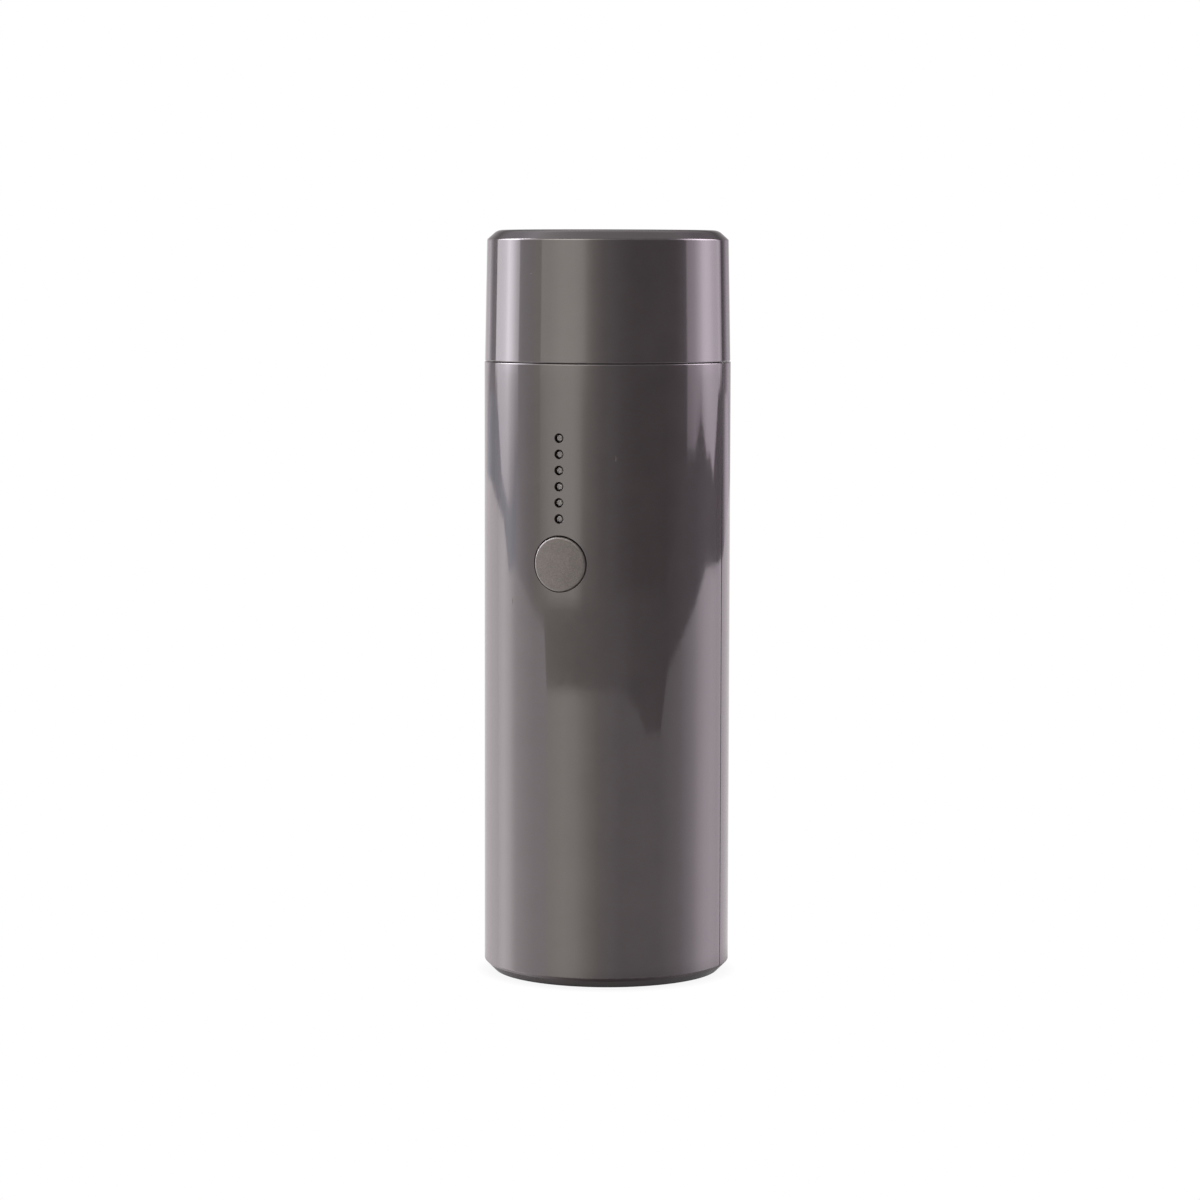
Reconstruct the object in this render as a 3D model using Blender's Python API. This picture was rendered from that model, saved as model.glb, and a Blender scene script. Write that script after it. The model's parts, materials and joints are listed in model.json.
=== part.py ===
"""Rechargeable air mattress pump: a round case of two half shells, with a pull-off cap over its nozzle.

Frame: metres, +Z up, origin at the centre of the base. The button is on the front, which faces -Y.
Air enters the grille in the base, passes the cells and the motor, and goes through the eye of the fan
plate into the impeller, which throws it into the outlet housing and out of the nozzle under the cap.
"""

import math

import bmesh
import bpy
from mathutils import Matrix, Vector

MM = 0.001
MERGE = 0.01 * MM
SHARP_ANGLE = math.radians(35)
FRONT = math.radians(90)  # a piece turned this much about X has its own +Z pointing out of the front
REAR = math.radians(-90)  # and this much, out of the rear
UPRIGHT = 0.0
UPSIDE_DOWN = math.pi

# Case: the driving sizes
BODY_RADIUS = 25.0 * MM
WALL = 1.8 * MM
TOTAL_HEIGHT = 151.0 * MM
CAP_JOINT_Z = 124.6 * MM
EDGE_CHAMFER = 2.1 * MM
CAP_GAP = 0.1 * MM  # between the shells and the cap
SEAM_GAP = 0.15 * MM  # between the two shells
BORE = BODY_RADIUS - WALL
MID_WALL = BODY_RADIUS - WALL / 2
SHELL_TOP = CAP_JOINT_Z - CAP_GAP / 2
REACH = 30.0 * MM  # past the case's wall, for the cutters that go right through it
ROUND_STEPS = 48

# Base opening, and the groove above it that holds the intake grille
INTAKE_RADIUS = 17.6 * MM
GRILLE_GROOVE = (2.0 * MM, 3.7 * MM, 20.0 * MM)  # low, high, radius
FILTER_SEAT = (5.0 * MM, 18.8 * MM)  # top, radius

# Fan housing seats inside the top of the case
FAN_RIB = (111.2 * MM, 112.8 * MM, 21.6 * MM)  # low, high, radius
TOP_LIP = (122.7 * MM, 22.1 * MM)  # low, radius

# Front controls
BUTTON_Z = 84.9 * MM
BUTTON_RADIUS = 5.5 * MM
BUTTON_GAP = 0.2 * MM
BUTTON_PROUD = 0.15 * MM
LED_COUNT = 6
LED_LOW_Z = 93.9 * MM
LED_PITCH = 3.2 * MM
LED_HOLE_RADIUS = 1.0 * MM
LED_RECESS = 0.5 * MM
LIGHT_POST_RADIUS = 0.66 * MM
LED_HEIGHTS = [LED_LOW_Z + LED_PITCH * i for i in range(LED_COUNT)]

# Control board: a flat board behind the front wall
BOARD_FACE = 17.0 * MM  # distance of its front face from the axis
BOARD_SIZE = (24.0 * MM, 38.0 * MM, 1.2 * MM)
BOARD_MID_Z = 91.5 * MM
BOARD_SCREWS = ((-9.0 * MM, 77.0 * MM), (9.0 * MM, 106.0 * MM))

# Case screws, from the rear into the front shell: X of the pair, height and pillar radius
SCREW_PAIRS = ((15.0 * MM, 9.2 * MM, 2.5 * MM), (18.0 * MM, 98.0 * MM, 2.9 * MM))
SCREW_SEAT_Y = 7.0 * MM
SCREW_WELL_RADIUS = 1.8 * MM

# Cells: two round cells side by side, behind the axis
CELL_RADIUS = 9.2 * MM
CELL_X = 9.4 * MM
CELL_Y = 3.0 * MM
CELL_LOW_Z = 13.5 * MM
CELL_LENGTH = 65.0 * MM
CELL_TOP_Z = CELL_LOW_Z + CELL_LENGTH

# Charging port, in the rear wall
PORT_Z = 24.0 * MM
PORT_SIZE = (8.9 * MM, 3.3 * MM)
PORT_HINGE_Y = 24.65 * MM
PORT_HINGE_Z = 30.1 * MM
PORT_COVER_SIZE = (14.0 * MM, 11.1 * MM)
PORT_POCKET_RADIUS = 24.0 * MM

# Motor, on the axis
MOTOR_RADIUS = 12.0 * MM
MOTOR_LOW_Z = 83.0 * MM
MOTOR_TOP_Z = 108.5 * MM
SHAFT_RADIUS = 1.0 * MM
SHAFT_BORE = 1.06 * MM
MOTOR_SCREW_X = 8.0 * MM

# Fan
FAN_PLATE_Z = 112.95 * MM
FAN_EYE_RADIUS = 9.6 * MM
IMPELLER_RADIUS = 18.5 * MM
IMPELLER_TOP_Z = 121.0 * MM
BLADE_COUNT = 9
NOZZLE_TOP_Z = 147.3 * MM

# Colour, roughness and metallic value of each kind of material
LOOKS = {
    "case_plastic": ((0.105, 0.095, 0.088), 0.16, 0.0),
    "button_plastic": ((0.190, 0.175, 0.160), 0.62, 0.0),
    "light_pipe": ((0.200, 0.195, 0.190), 0.35, 0.0),
    "inner_plastic": ((0.035, 0.035, 0.037), 0.50, 0.0),
    "white_plastic": ((0.700, 0.700, 0.680), 0.45, 0.0),
    "soft_rubber": ((0.060, 0.057, 0.054), 0.75, 0.0),
    "filter_foam": ((0.020, 0.020, 0.020), 0.95, 0.0),
    "circuit_board": ((0.020, 0.110, 0.050), 0.40, 0.0),
    "chip_resin": ((0.015, 0.015, 0.017), 0.45, 0.0),
    "led_lens": ((0.850, 0.830, 0.620), 0.30, 0.0),
    "cell_wrap": ((0.050, 0.170, 0.300), 0.30, 0.0),
    "nickel": ((0.620, 0.600, 0.560), 0.30, 1.0),
    "zinc_steel": ((0.560, 0.570, 0.580), 0.32, 1.0),
    "dark_steel": ((0.060, 0.060, 0.065), 0.40, 1.0),
    "ferrite": ((0.045, 0.043, 0.042), 0.70, 0.0),
    "core_steel": ((0.330, 0.320, 0.310), 0.45, 1.0),
    "copper": ((0.780, 0.390, 0.240), 0.30, 1.0),
    "bronze": ((0.600, 0.430, 0.200), 0.40, 1.0),
    "carbon": ((0.030, 0.030, 0.030), 0.60, 0.0),
    "wire_red": ((0.500, 0.020, 0.020), 0.45, 0.0),
    "wire_black": ((0.020, 0.020, 0.020), 0.45, 0.0),
}


# Scene and material helpers


def clear_scene():
    for leftover in list(bpy.data.objects):
        bpy.data.objects.remove(leftover, do_unlink=True)


def make_collection(name):
    collection = bpy.data.collections.new(name)
    bpy.context.scene.collection.children.link(collection)
    return collection


def material(look):
    """The Principled material of a look, made the first time that a part asks for it."""
    found = bpy.data.materials.get(look)
    if found:
        return found
    colour, roughness, metallic = LOOKS[look]
    made = bpy.data.materials.new(look)
    made.use_nodes = True
    shader = made.node_tree.nodes["Principled BSDF"]
    shader.inputs["Base Color"].default_value = (*colour, 1.0)
    shader.inputs["Roughness"].default_value = roughness
    shader.inputs["Metallic"].default_value = metallic
    return made


def make_object(name, data, look, location=(0, 0, 0), turn=UPRIGHT):
    """A part if it has a look, and otherwise a hidden helper for a Boolean."""
    made = bpy.data.objects.new(name, data)
    made.location = location
    made.rotation_euler = (turn, 0, 0)
    if look:
        data.materials.append(material(look))
        parts.objects.link(made)
    else:
        made.hide_render = True
        made.display_type = "WIRE"
        helpers.objects.link(made)
    return made


def boolean(target, operation, tool):
    step = target.modifiers.new(f"{operation.title()} {tool.name}", "BOOLEAN")
    step.operation = operation
    step.object = tool


def cut(target, *tools):
    for tool in tools:
        boolean(target, "DIFFERENCE", tool)


def join(target, *tools):
    for tool in tools:
        boolean(target, "UNION", tool)


def keep_inside(target, tool):
    boolean(target, "INTERSECT", tool)


# Shape helpers


def finished_mesh(name, shape):
    """The mesh of a bmesh that is drawn: outward-facing, smooth on its round faces and sharp at its edges."""
    bmesh.ops.recalc_face_normals(shape, faces=shape.faces)
    mesh = bpy.data.meshes.new(name)
    shape.to_mesh(mesh)
    shape.free()
    mesh.shade_smooth()
    mesh.set_sharp_from_angle(angle=SHARP_ANGLE)
    return mesh


def turned_mesh(name, profile, steps, ring=False):
    """A solid of revolution about Z. The profile is a list of (radius, height); a ring's closes on itself,
    and any other starts and ends on the axis."""
    shape = bmesh.new()
    corners = [shape.verts.new((radius, 0, height)) for radius, height in profile]
    pairs = list(zip(corners, corners[1:]))
    if ring:
        pairs.append((corners[-1], corners[0]))
    edges = [shape.edges.new(pair) for pair in pairs]
    axis = {"cent": (0, 0, 0), "axis": (0, 0, 1)}
    bmesh.ops.spin(shape, geom=corners + edges, angle=math.tau, steps=steps, use_merge=True, **axis)
    bmesh.ops.remove_doubles(shape, verts=shape.verts, dist=MERGE)
    return finished_mesh(name, shape)


def turned(name, profile, look=None, steps=ROUND_STEPS, ring=False, location=(0, 0, 0), turn=UPRIGHT):
    return make_object(name, turned_mesh(name, profile, steps, ring), look, location, turn)


def tube(name, outer, inner, low, high, look, steps=32):
    profile = [(outer, high), (outer, low), (inner, low), (inner, high)]
    return turned(name, profile, look, steps, ring=True)


def rods(name, radius, low, high, places=((0, 0),), look=None, steps=24, turn=UPRIGHT):
    """Round bars along Z from low to high, one at each (x, y) of its own plane, in one mesh. Seen from a
    piece that is turned to the front, that plane's y is the height."""
    shape = bmesh.new()
    size = {"radius1": radius, "radius2": radius, "depth": high - low}
    for x, y in places:
        at = Matrix.Translation((x, y, (low + high) / 2))
        bmesh.ops.create_cone(shape, cap_ends=True, segments=steps, matrix=at, **size)
    return make_object(name, finished_mesh(name, shape), look, turn=turn)


def boxes(name, corner_pairs, look=None):
    """Boxes in one mesh, each between two opposite corners."""
    shape = bmesh.new()
    for one, other in corner_pairs:
        middle = [(a + b) / 2 for a, b in zip(one, other)]
        size = [abs(b - a) for a, b in zip(one, other)]
        at = Matrix.Translation(middle) @ Matrix.Diagonal((*size, 1.0))
        bmesh.ops.create_cube(shape, size=1.0, matrix=at)
    return make_object(name, finished_mesh(name, shape), look)


def box(name, one_corner, other_corner, look=None):
    return boxes(name, [(one_corner, other_corner)], look)


def rounded_outline(width, height, radius, steps=6):
    """Outline of a rectangle with round corners, about the origin. Full radius makes a stadium."""
    x, y = width / 2 - radius, height / 2 - radius
    outline = []
    for centre_x, centre_y, start in ((x, y, 0), (-x, y, 90), (-x, -y, 180), (x, -y, 270)):
        for i in range(steps + 1):
            angle = math.radians(start + 90 * i / steps)
            point = (centre_x + radius * math.cos(angle), centre_y + radius * math.sin(angle))
            if not outline or math.dist(point, outline[-1]) > MERGE:
                outline.append(point)
    if math.dist(outline[0], outline[-1]) < MERGE:
        outline.pop()
    return outline


def spun(outline, count):
    """An outline repeated all round the origin."""
    copies = []
    for i in range(count):
        turn = Matrix.Rotation(math.tau * i / count, 2)
        copies.append([tuple(turn @ Vector(point)) for point in outline])
    return copies


def plate(name, outlines, low, high, look=None, location=(0, 0, 0), turn=UPRIGHT):
    """Flat plates of the given outlines, from low to high along their own Z, as one mesh."""
    shape = bmesh.new()
    for outline in outlines:
        base = shape.faces.new([shape.verts.new((x, y, low)) for x, y in outline])
        grown = bmesh.ops.extrude_face_region(shape, geom=[base])["geom"]
        raised = [item for item in grown if isinstance(item, bmesh.types.BMVert)]
        bmesh.ops.translate(shape, verts=raised, vec=(0, 0, high - low))
    return make_object(name, finished_mesh(name, shape), look, location, turn)


def smooth_path(stops, samples=5):
    """Points of a Catmull-Rom curve through the stops."""
    padded = [stops[0], *stops, stops[-1]]
    for before, start, end, after in zip(padded, padded[1:], padded[2:], padded[3:]):
        for i in range(samples):
            t = i / samples
            weights = (
                (-t + 2 * t**2 - t**3) / 2,
                (2 - 5 * t**2 + 3 * t**3) / 2,
                (t + 4 * t**2 - 3 * t**3) / 2,
                (t**3 - t**2) / 2,
            )
            yield sum((Vector(p) * w for p, w in zip((before, start, end, after), weights)), Vector())
    yield Vector(stops[-1])


def wire(name, stops, radius, look):
    points = list(smooth_path(stops))
    path = bpy.data.curves.new(name, "CURVE")
    path.dimensions = "3D"
    path.bevel_depth = radius
    path.bevel_resolution = 1
    path.use_fill_caps = True
    spline = path.splines.new("POLY")
    spline.points.add(len(points) - 1)
    for point, place in zip(spline.points, points):
        point.co = (*place, 1)
    return make_object(name, path, look)


def screw(name, head_radius, head_height, shank_radius, length, seat, turn, look="zinc_steel"):
    """A pan-head screw whose head rests on the point called seat, pointing out along its turned Z."""
    profile = [
        (0, head_height),
        (head_radius * 0.6, head_height),
        (head_radius, head_height * 0.55),
        (head_radius, 0),
        (shank_radius, 0),
        (shank_radius, -length),
        (0, -length - shank_radius),
    ]
    return turned(name, profile, look, steps=12, location=seat, turn=turn)


def case_core(name, radius):
    """The space inside the case up to a radius, which trims what reaches out to the wall."""
    return rods(name, radius, 1.0 * MM, SHELL_TOP - 1.0 * MM, steps=ROUND_STEPS)


def case_half(name, side):
    """Everything on one side of the seam: the front is side -1 and the rear is side 1."""
    return box(name, (-REACH, side * SEAM_GAP / 2, -REACH), (REACH, side * REACH, TOTAL_HEIGHT))


# Case


def shell_blank(name):
    """The whole tube of the case, before it is parted into its two halves."""
    groove_low, groove_high, groove_radius = GRILLE_GROOVE
    seat_top, seat_radius = FILTER_SEAT
    rib_low, rib_high, rib_radius = FAN_RIB
    lip_low, lip_radius = TOP_LIP
    profile = [
        (lip_radius, SHELL_TOP),
        (BODY_RADIUS - 0.25 * MM, SHELL_TOP),
        (BODY_RADIUS, SHELL_TOP - 0.25 * MM),
        (BODY_RADIUS, EDGE_CHAMFER),
        (BODY_RADIUS - EDGE_CHAMFER, 0),
        (INTAKE_RADIUS, 0),
        (INTAKE_RADIUS, groove_low),
        (groove_radius, groove_low),
        (groove_radius, groove_high),
        (seat_radius, groove_high),
        (seat_radius, seat_top),
        (BORE, seat_top),
        (BORE, rib_low),
        (rib_radius, rib_low),
        (rib_radius, rib_high),
        (BORE, rib_high),
        (BORE, lip_low),
        (lip_radius, lip_low),
    ]
    return turned(name, profile, "case_plastic", ring=True)


def screw_pillars(core):
    """The four screw pillars, drawn right across the case: each shell keeps its own half of them."""
    made = []
    for x, z, radius in SCREW_PAIRS:
        places = ((x, z), (-x, z))
        pillars = rods(f"pillars_{z / MM:.0f}", radius, -BODY_RADIUS, BODY_RADIUS, places, turn=FRONT)
        keep_inside(pillars, core)
        made.append(pillars)
    return made


def screw_places():
    return [(side * x, z) for x, z, _ in SCREW_PAIRS for side in (-1, 1)]


def cell_ribs(core):
    """Ribs that reach in from the wall at mid-height, two to the cells and one to their tray."""
    half, low, high = 0.8 * MM, 44 * MM, 47 * MM
    front = CELL_Y - CELL_RADIUS - 0.3 * MM
    rear = CELL_Y + CELL_RADIUS - 0.3 * MM
    pairs = [((x - half, -BODY_RADIUS, low), (x + half, front, high)) for x in (-CELL_X, CELL_X)]
    pairs.append(((-half, rear, low), (half, BODY_RADIUS, high)))
    ribs = boxes("cell_ribs", pairs)
    keep_inside(ribs, core)
    return ribs


def port_board_rails(core):
    """A rail at each side edge of the charging port's board."""
    inner, outer = (8.3 * MM, 12.6 * MM, 15.5 * MM), (9.3 * MM, BODY_RADIUS, 32.0 * MM)
    mirrored = [(-x, y, z) for x, y, z in (inner, outer)]
    rails = boxes("port_board_rails", [(inner, outer), mirrored])
    keep_inside(rails, core)
    return rails


def front_shell(core, pillars, ribs):
    """The half with the button and the row of indicator holes."""
    shell = shell_blank("front_shell")
    posts = rods("board_posts", 2.2 * MM, BOARD_FACE + 0.15 * MM, BODY_RADIUS, BOARD_SCREWS, turn=FRONT)
    keep_inside(posts, core)
    join(shell, *pillars, posts, ribs)
    keep_inside(shell, case_half("front_half", -1))
    holes = [(0, height) for height in LED_HEIGHTS]
    opening = BUTTON_RADIUS + BUTTON_GAP
    cut(
        shell,
        rods("button_opening", opening, 20 * MM, REACH, ((0, BUTTON_Z),), steps=40, turn=FRONT),
        rods("led_holes", LED_HOLE_RADIUS, 20 * MM, REACH, holes, steps=16, turn=FRONT),
        rods("case_screw_pilots", 0.95 * MM, -1 * MM, 9 * MM, screw_places(), steps=12, turn=FRONT),
        rods("board_screw_pilots", 0.8 * MM, 16 * MM, 21.5 * MM, BOARD_SCREWS, steps=12, turn=FRONT),
    )


def rear_shell(core, pillars, ribs):
    """The half with the screw wells and the charging port's opening, in a pocket for its cover."""
    shell = shell_blank("rear_shell")
    join(shell, *pillars, ribs, port_board_rails(core))
    keep_inside(shell, case_half("rear_half", 1))
    pocket_top = PORT_HINGE_Z + 0.8 * MM
    pocket_low = PORT_HINGE_Z - PORT_COVER_SIZE[1] - 0.8 * MM
    pocket_outline = rounded_outline(PORT_COVER_SIZE[0] + 0.6 * MM, pocket_top - pocket_low, 2.0 * MM, 4)
    pocket_place = (0, 0, (pocket_top + pocket_low) / 2)
    pocket = plate("port_pocket", [pocket_outline], 20 * MM, REACH, location=pocket_place, turn=REAR)
    cut(pocket, case_core("pocket_floor", PORT_POCKET_RADIUS))
    opening = rounded_outline(PORT_SIZE[0] + 0.7 * MM, PORT_SIZE[1] + 0.7 * MM, 1.9 * MM, 4)
    screws = [(x, -z) for x, z in screw_places()]  # a piece turned to the rear has its own y pointing down
    cut(
        shell,
        rods("case_screw_holes", 1.2 * MM, -1 * MM, 8 * MM, screws, steps=12, turn=REAR),
        rods("case_screw_wells", SCREW_WELL_RADIUS, SCREW_SEAT_Y, REACH, screws, steps=20, turn=REAR),
        pocket,
        plate("port_opening", [opening], 20 * MM, REACH, location=(0, 0, PORT_Z), turn=REAR),
    )


def case_screws():
    for count, (x, z) in enumerate(screw_places(), start=1):
        seat = (x, SCREW_SEAT_Y + 0.05 * MM, z)
        screw(f"case_screw_{count}", 1.6 * MM, 1.3 * MM, 0.8 * MM, 13 * MM, seat, REAR, "dark_steel")


def cap():
    """The pull-off cap, with a moulding draft of one degree. Its origin is on the joint line."""
    height = TOTAL_HEIGHT - CAP_JOINT_Z
    skirt_low = CAP_GAP / 2
    outer_low, outer_high = 24.9 * MM, 24.45 * MM
    roof = height - WALL
    profile = [
        (0, height),
        (outer_high - EDGE_CHAMFER, height),
        (outer_high, height - 1.9 * MM),
        (outer_low, skirt_low + 0.3 * MM),
        (outer_low - 0.25 * MM, skirt_low),
        (outer_low - WALL, skirt_low),
        (outer_high - WALL, roof - 1.0 * MM),
        (outer_high - WALL - 1.0 * MM, roof),
        (0, roof),
    ]
    turned("cap", profile, "case_plastic", location=(0, 0, CAP_JOINT_Z))


def intake_grille():
    """The round grille in the base, clamped by its flange in the groove of the two shells."""
    low, high, groove_radius = GRILLE_GROOVE
    flange = groove_radius - 0.25 * MM
    plug = INTAKE_RADIUS - 0.2 * MM
    face = 0.5 * MM
    profile = [
        (0, high - 0.2 * MM),
        (flange, high - 0.2 * MM),
        (flange, low + 0.2 * MM),
        (plug, low + 0.2 * MM),
        (plug, face + 0.3 * MM),
        (plug - 0.3 * MM, face),
        (0, face),
    ]
    grille = turned("intake_grille", profile, "inner_plastic", steps=36)
    slot_count, slot_inner, slot_outer, slot_width = 12, 5.5 * MM, 15.5 * MM, 2.0 * MM
    middle = (slot_outer + slot_inner) / 2
    outline = rounded_outline(slot_outer - slot_inner, slot_width, slot_width / 2, 3)
    slot = [(x + middle, y) for x, y in outline]
    cut(grille, plate("intake_slots", spun(slot, slot_count), -1 * MM, 5 * MM))


def dust_filter():
    radius = FILTER_SEAT[1] - 0.4 * MM
    rods("dust_filter", radius, 3.75 * MM, 6.5 * MM, look="filter_foam", steps=32)


# Outlet


def outlet_housing():
    """Fan cover, neck and nozzle in one moulding, with two crossed ribs that guard the nozzle."""
    profile = [
        (6.9 * MM, NOZZLE_TOP_Z),
        (8.2 * MM, NOZZLE_TOP_Z),
        (9.2 * MM, 134.6 * MM),
        (11.8 * MM, 132.3 * MM),
        (20.8 * MM, 131.4 * MM),
        (21.8 * MM, 130.5 * MM),
        (21.8 * MM, 129.2 * MM),
        (20.9 * MM, 129.2 * MM),
        (20.9 * MM, 127.0 * MM),
        (21.8 * MM, 127.0 * MM),
        (21.8 * MM, 122.4 * MM),
        (22.9 * MM, 122.4 * MM),
        (22.9 * MM, 114.8 * MM),
        (21.5 * MM, 114.8 * MM),
        (21.5 * MM, 122.0 * MM),
        (19.6 * MM, 123.4 * MM),
        (19.6 * MM, 129.2 * MM),
        (11.3 * MM, 130.2 * MM),
        (7.8 * MM, 134.0 * MM),
    ]
    housing = turned("outlet_housing", profile, "inner_plastic", steps=40, ring=True)
    reach, half, low, high = 8.0 * MM, 0.6 * MM, 135.0 * MM, 138.0 * MM
    join(
        housing,
        box("guard_rib_x", (-reach, -half, low), (reach, half, high)),
        box("guard_rib_y", (-half, -reach, low), (half, reach, high)),
    )


def nozzle_sleeve():
    """The soft stepped sleeve that seals in a mattress valve."""
    profile = [
        (8.5 * MM, 147.0 * MM),
        (9.5 * MM, 147.0 * MM),
        (10.0 * MM, 146.3 * MM),
        (10.5 * MM, 143.2 * MM),
        (10.1 * MM, 142.9 * MM),
        (10.9 * MM, 139.2 * MM),
        (10.5 * MM, 138.9 * MM),
        (11.3 * MM, 135.2 * MM),
        (11.0 * MM, 134.8 * MM),
        (9.45 * MM, 134.8 * MM),
    ]
    turned("nozzle_sleeve", profile, "soft_rubber", steps=32, ring=True)


def cap_seal():
    """O-ring in the neck's groove, which the cap slides over."""
    ring_radius, cord, height, sides = 21.95 * MM, 0.9 * MM, 128.1 * MM, 6
    profile = []
    for i in range(sides):
        angle = math.radians(90) - math.tau * (i + 0.5) / sides
        profile.append((ring_radius + cord * math.cos(angle), height + cord * math.sin(angle)))
    turned("cap_seal", profile, "soft_rubber", steps=36, ring=True)


def fan_base():
    """The plate with the impeller's eye. Three posts carry the disc below it, which takes the motor."""
    top = FAN_PLATE_Z + 1.5 * MM
    plate_ring = tube("fan_base", 22.9 * MM, FAN_EYE_RADIUS, FAN_PLATE_Z, top, "inner_plastic", steps=40)
    disc_low, disc_high = MOTOR_TOP_Z + 0.2 * MM, MOTOR_TOP_Z + 1.8 * MM
    motor_disc = tube("motor_disc", 12.2 * MM, 4.6 * MM, disc_low, disc_high, None)
    post_ring, post_count = 10.7 * MM, 3
    angles = [math.radians(90) + math.tau * i / post_count for i in range(post_count)]
    places = [(post_ring * math.cos(a), post_ring * math.sin(a)) for a in angles]
    posts = rods("fan_posts", 1.4 * MM, disc_low + 0.3 * MM, top - 0.3 * MM, places, steps=12)
    join(plate_ring, motor_disc, posts)
    screw_holes = ((MOTOR_SCREW_X, 0), (-MOTOR_SCREW_X, 0))
    low, high = disc_low - MM, disc_high + MM
    cut(plate_ring, rods("motor_screw_holes", 1.15 * MM, low, high, screw_holes, steps=12))


def blade_outline():
    """A swept-back blade, drawn along an arc from the eye to the rim."""
    inner, outer, thickness, sweep, steps = 9.2 * MM, 18.2 * MM, 0.9 * MM, math.radians(48), 4
    sides = ([], [])
    for i in range(steps + 1):
        t = i / steps
        radius = inner + (outer - inner) * t
        angle = sweep * t
        lean = angle + math.atan(sweep * radius / (outer - inner))
        for side, offset in zip(sides, (thickness / 2, -thickness / 2)):
            x = radius * math.cos(angle) - offset * math.sin(lean)
            y = radius * math.sin(angle) + offset * math.cos(lean)
            side.append((x, y))
    return sides[1] + sides[0][::-1]


def impeller():
    """A disc with a hub cone that turns the air outwards, and swept-back blades below it."""
    disc_low = IMPELLER_TOP_Z - 0.9 * MM
    profile = [
        (0, IMPELLER_TOP_Z + 0.6 * MM),
        (3.0 * MM, IMPELLER_TOP_Z + 0.6 * MM),
        (3.6 * MM, IMPELLER_TOP_Z),
        (IMPELLER_RADIUS, IMPELLER_TOP_Z),
        (IMPELLER_RADIUS, disc_low),
        (10.0 * MM, disc_low),
        (6.0 * MM, 118.4 * MM),
        (3.8 * MM, 115.6 * MM),
        (3.2 * MM, 112.4 * MM),
        (SHAFT_BORE, 112.4 * MM),
        (SHAFT_BORE, IMPELLER_TOP_Z - 0.8 * MM),
        (0, IMPELLER_TOP_Z - 0.8 * MM),
    ]
    wheel = turned("impeller", profile, "white_plastic", steps=36)
    blades = spun(blade_outline(), BLADE_COUNT)
    join(wheel, plate("impeller_blades", blades, 115.2 * MM, disc_low + 0.4 * MM))


# Motor


def motor_can():
    """Deep-drawn can, open at the bottom, with a nose for the front bushing."""
    radius, wall = MOTOR_RADIUS, 0.8 * MM
    nose_top = MOTOR_TOP_Z + 1.5 * MM
    profile = [
        (3.2 * MM, nose_top),
        (4.2 * MM, nose_top),
        (4.2 * MM, MOTOR_TOP_Z),
        (radius - 0.5 * MM, MOTOR_TOP_Z),
        (radius, MOTOR_TOP_Z - 0.5 * MM),
        (radius, MOTOR_LOW_Z + 2.5 * MM),
        (radius - wall, MOTOR_LOW_Z + 2.5 * MM),
        (radius - wall, MOTOR_TOP_Z - wall),
        (3.2 * MM, MOTOR_TOP_Z - wall),
    ]
    can = turned("motor_can", profile, "zinc_steel", steps=40, ring=True)
    holes = ((MOTOR_SCREW_X, 0), (-MOTOR_SCREW_X, 0))
    cut(can, rods("can_screw_holes", 1.1 * MM, MOTOR_TOP_Z - 2 * MM, MOTOR_TOP_Z + MM, holes, steps=12))


def motor_end_bell():
    """Plastic end of the motor, with the rear bushing's bore and a slot for each terminal."""
    rim = MOTOR_LOW_Z + 2.3 * MM
    profile = [
        (2.9 * MM, rim + 2.0 * MM),
        (11.0 * MM, rim + 2.0 * MM),
        (11.0 * MM, rim),
        (MOTOR_RADIUS, rim),
        (MOTOR_RADIUS, MOTOR_LOW_Z),
        (2.9 * MM, MOTOR_LOW_Z),
    ]
    bell = turned("motor_end_bell", profile, "inner_plastic", steps=40, ring=True)
    for side in (-1, 1):
        low = (side * 7.0 * MM - 0.4 * MM, -1.8 * MM, MOTOR_LOW_Z - MM)
        high = (side * 7.0 * MM + 0.4 * MM, 1.8 * MM, rim + 3 * MM)
        cut(bell, box(f"terminal_slot_{side}", low, high))


def magnet(name, side):
    """One of the two ferrite arcs inside the can."""
    arc = tube(name, 11.05 * MM, 8.9 * MM, 91.5 * MM, 105.5 * MM, "ferrite", steps=40)
    sector = box(f"{name}_sector", (side * 4.2 * MM, -REACH, 0), (side * REACH, REACH, TOTAL_HEIGHT))
    keep_inside(arc, sector)


def armature():
    """Laminated core with five slots, and its windings' end turns."""
    core_low, core_high = 92.2 * MM, 104.4 * MM
    profile = [
        (SHAFT_BORE, core_high + 1.8 * MM),
        (6.0 * MM, core_high + 1.8 * MM),
        (7.0 * MM, core_high),
        (8.4 * MM, core_high),
        (8.4 * MM, core_low),
        (7.0 * MM, core_low),
        (6.0 * MM, core_low - 1.2 * MM),
        (SHAFT_BORE, core_low - 1.2 * MM),
    ]
    core = turned("armature", profile, "core_steel", steps=30, ring=True)
    slot_count = 5
    slot = [(7.3 * MM, -0.8 * MM), (9.5 * MM, -0.8 * MM), (9.5 * MM, 0.8 * MM), (7.3 * MM, 0.8 * MM)]
    cut(core, plate("armature_slots", spun(slot, slot_count), core_low - MM, core_high + MM))


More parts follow.
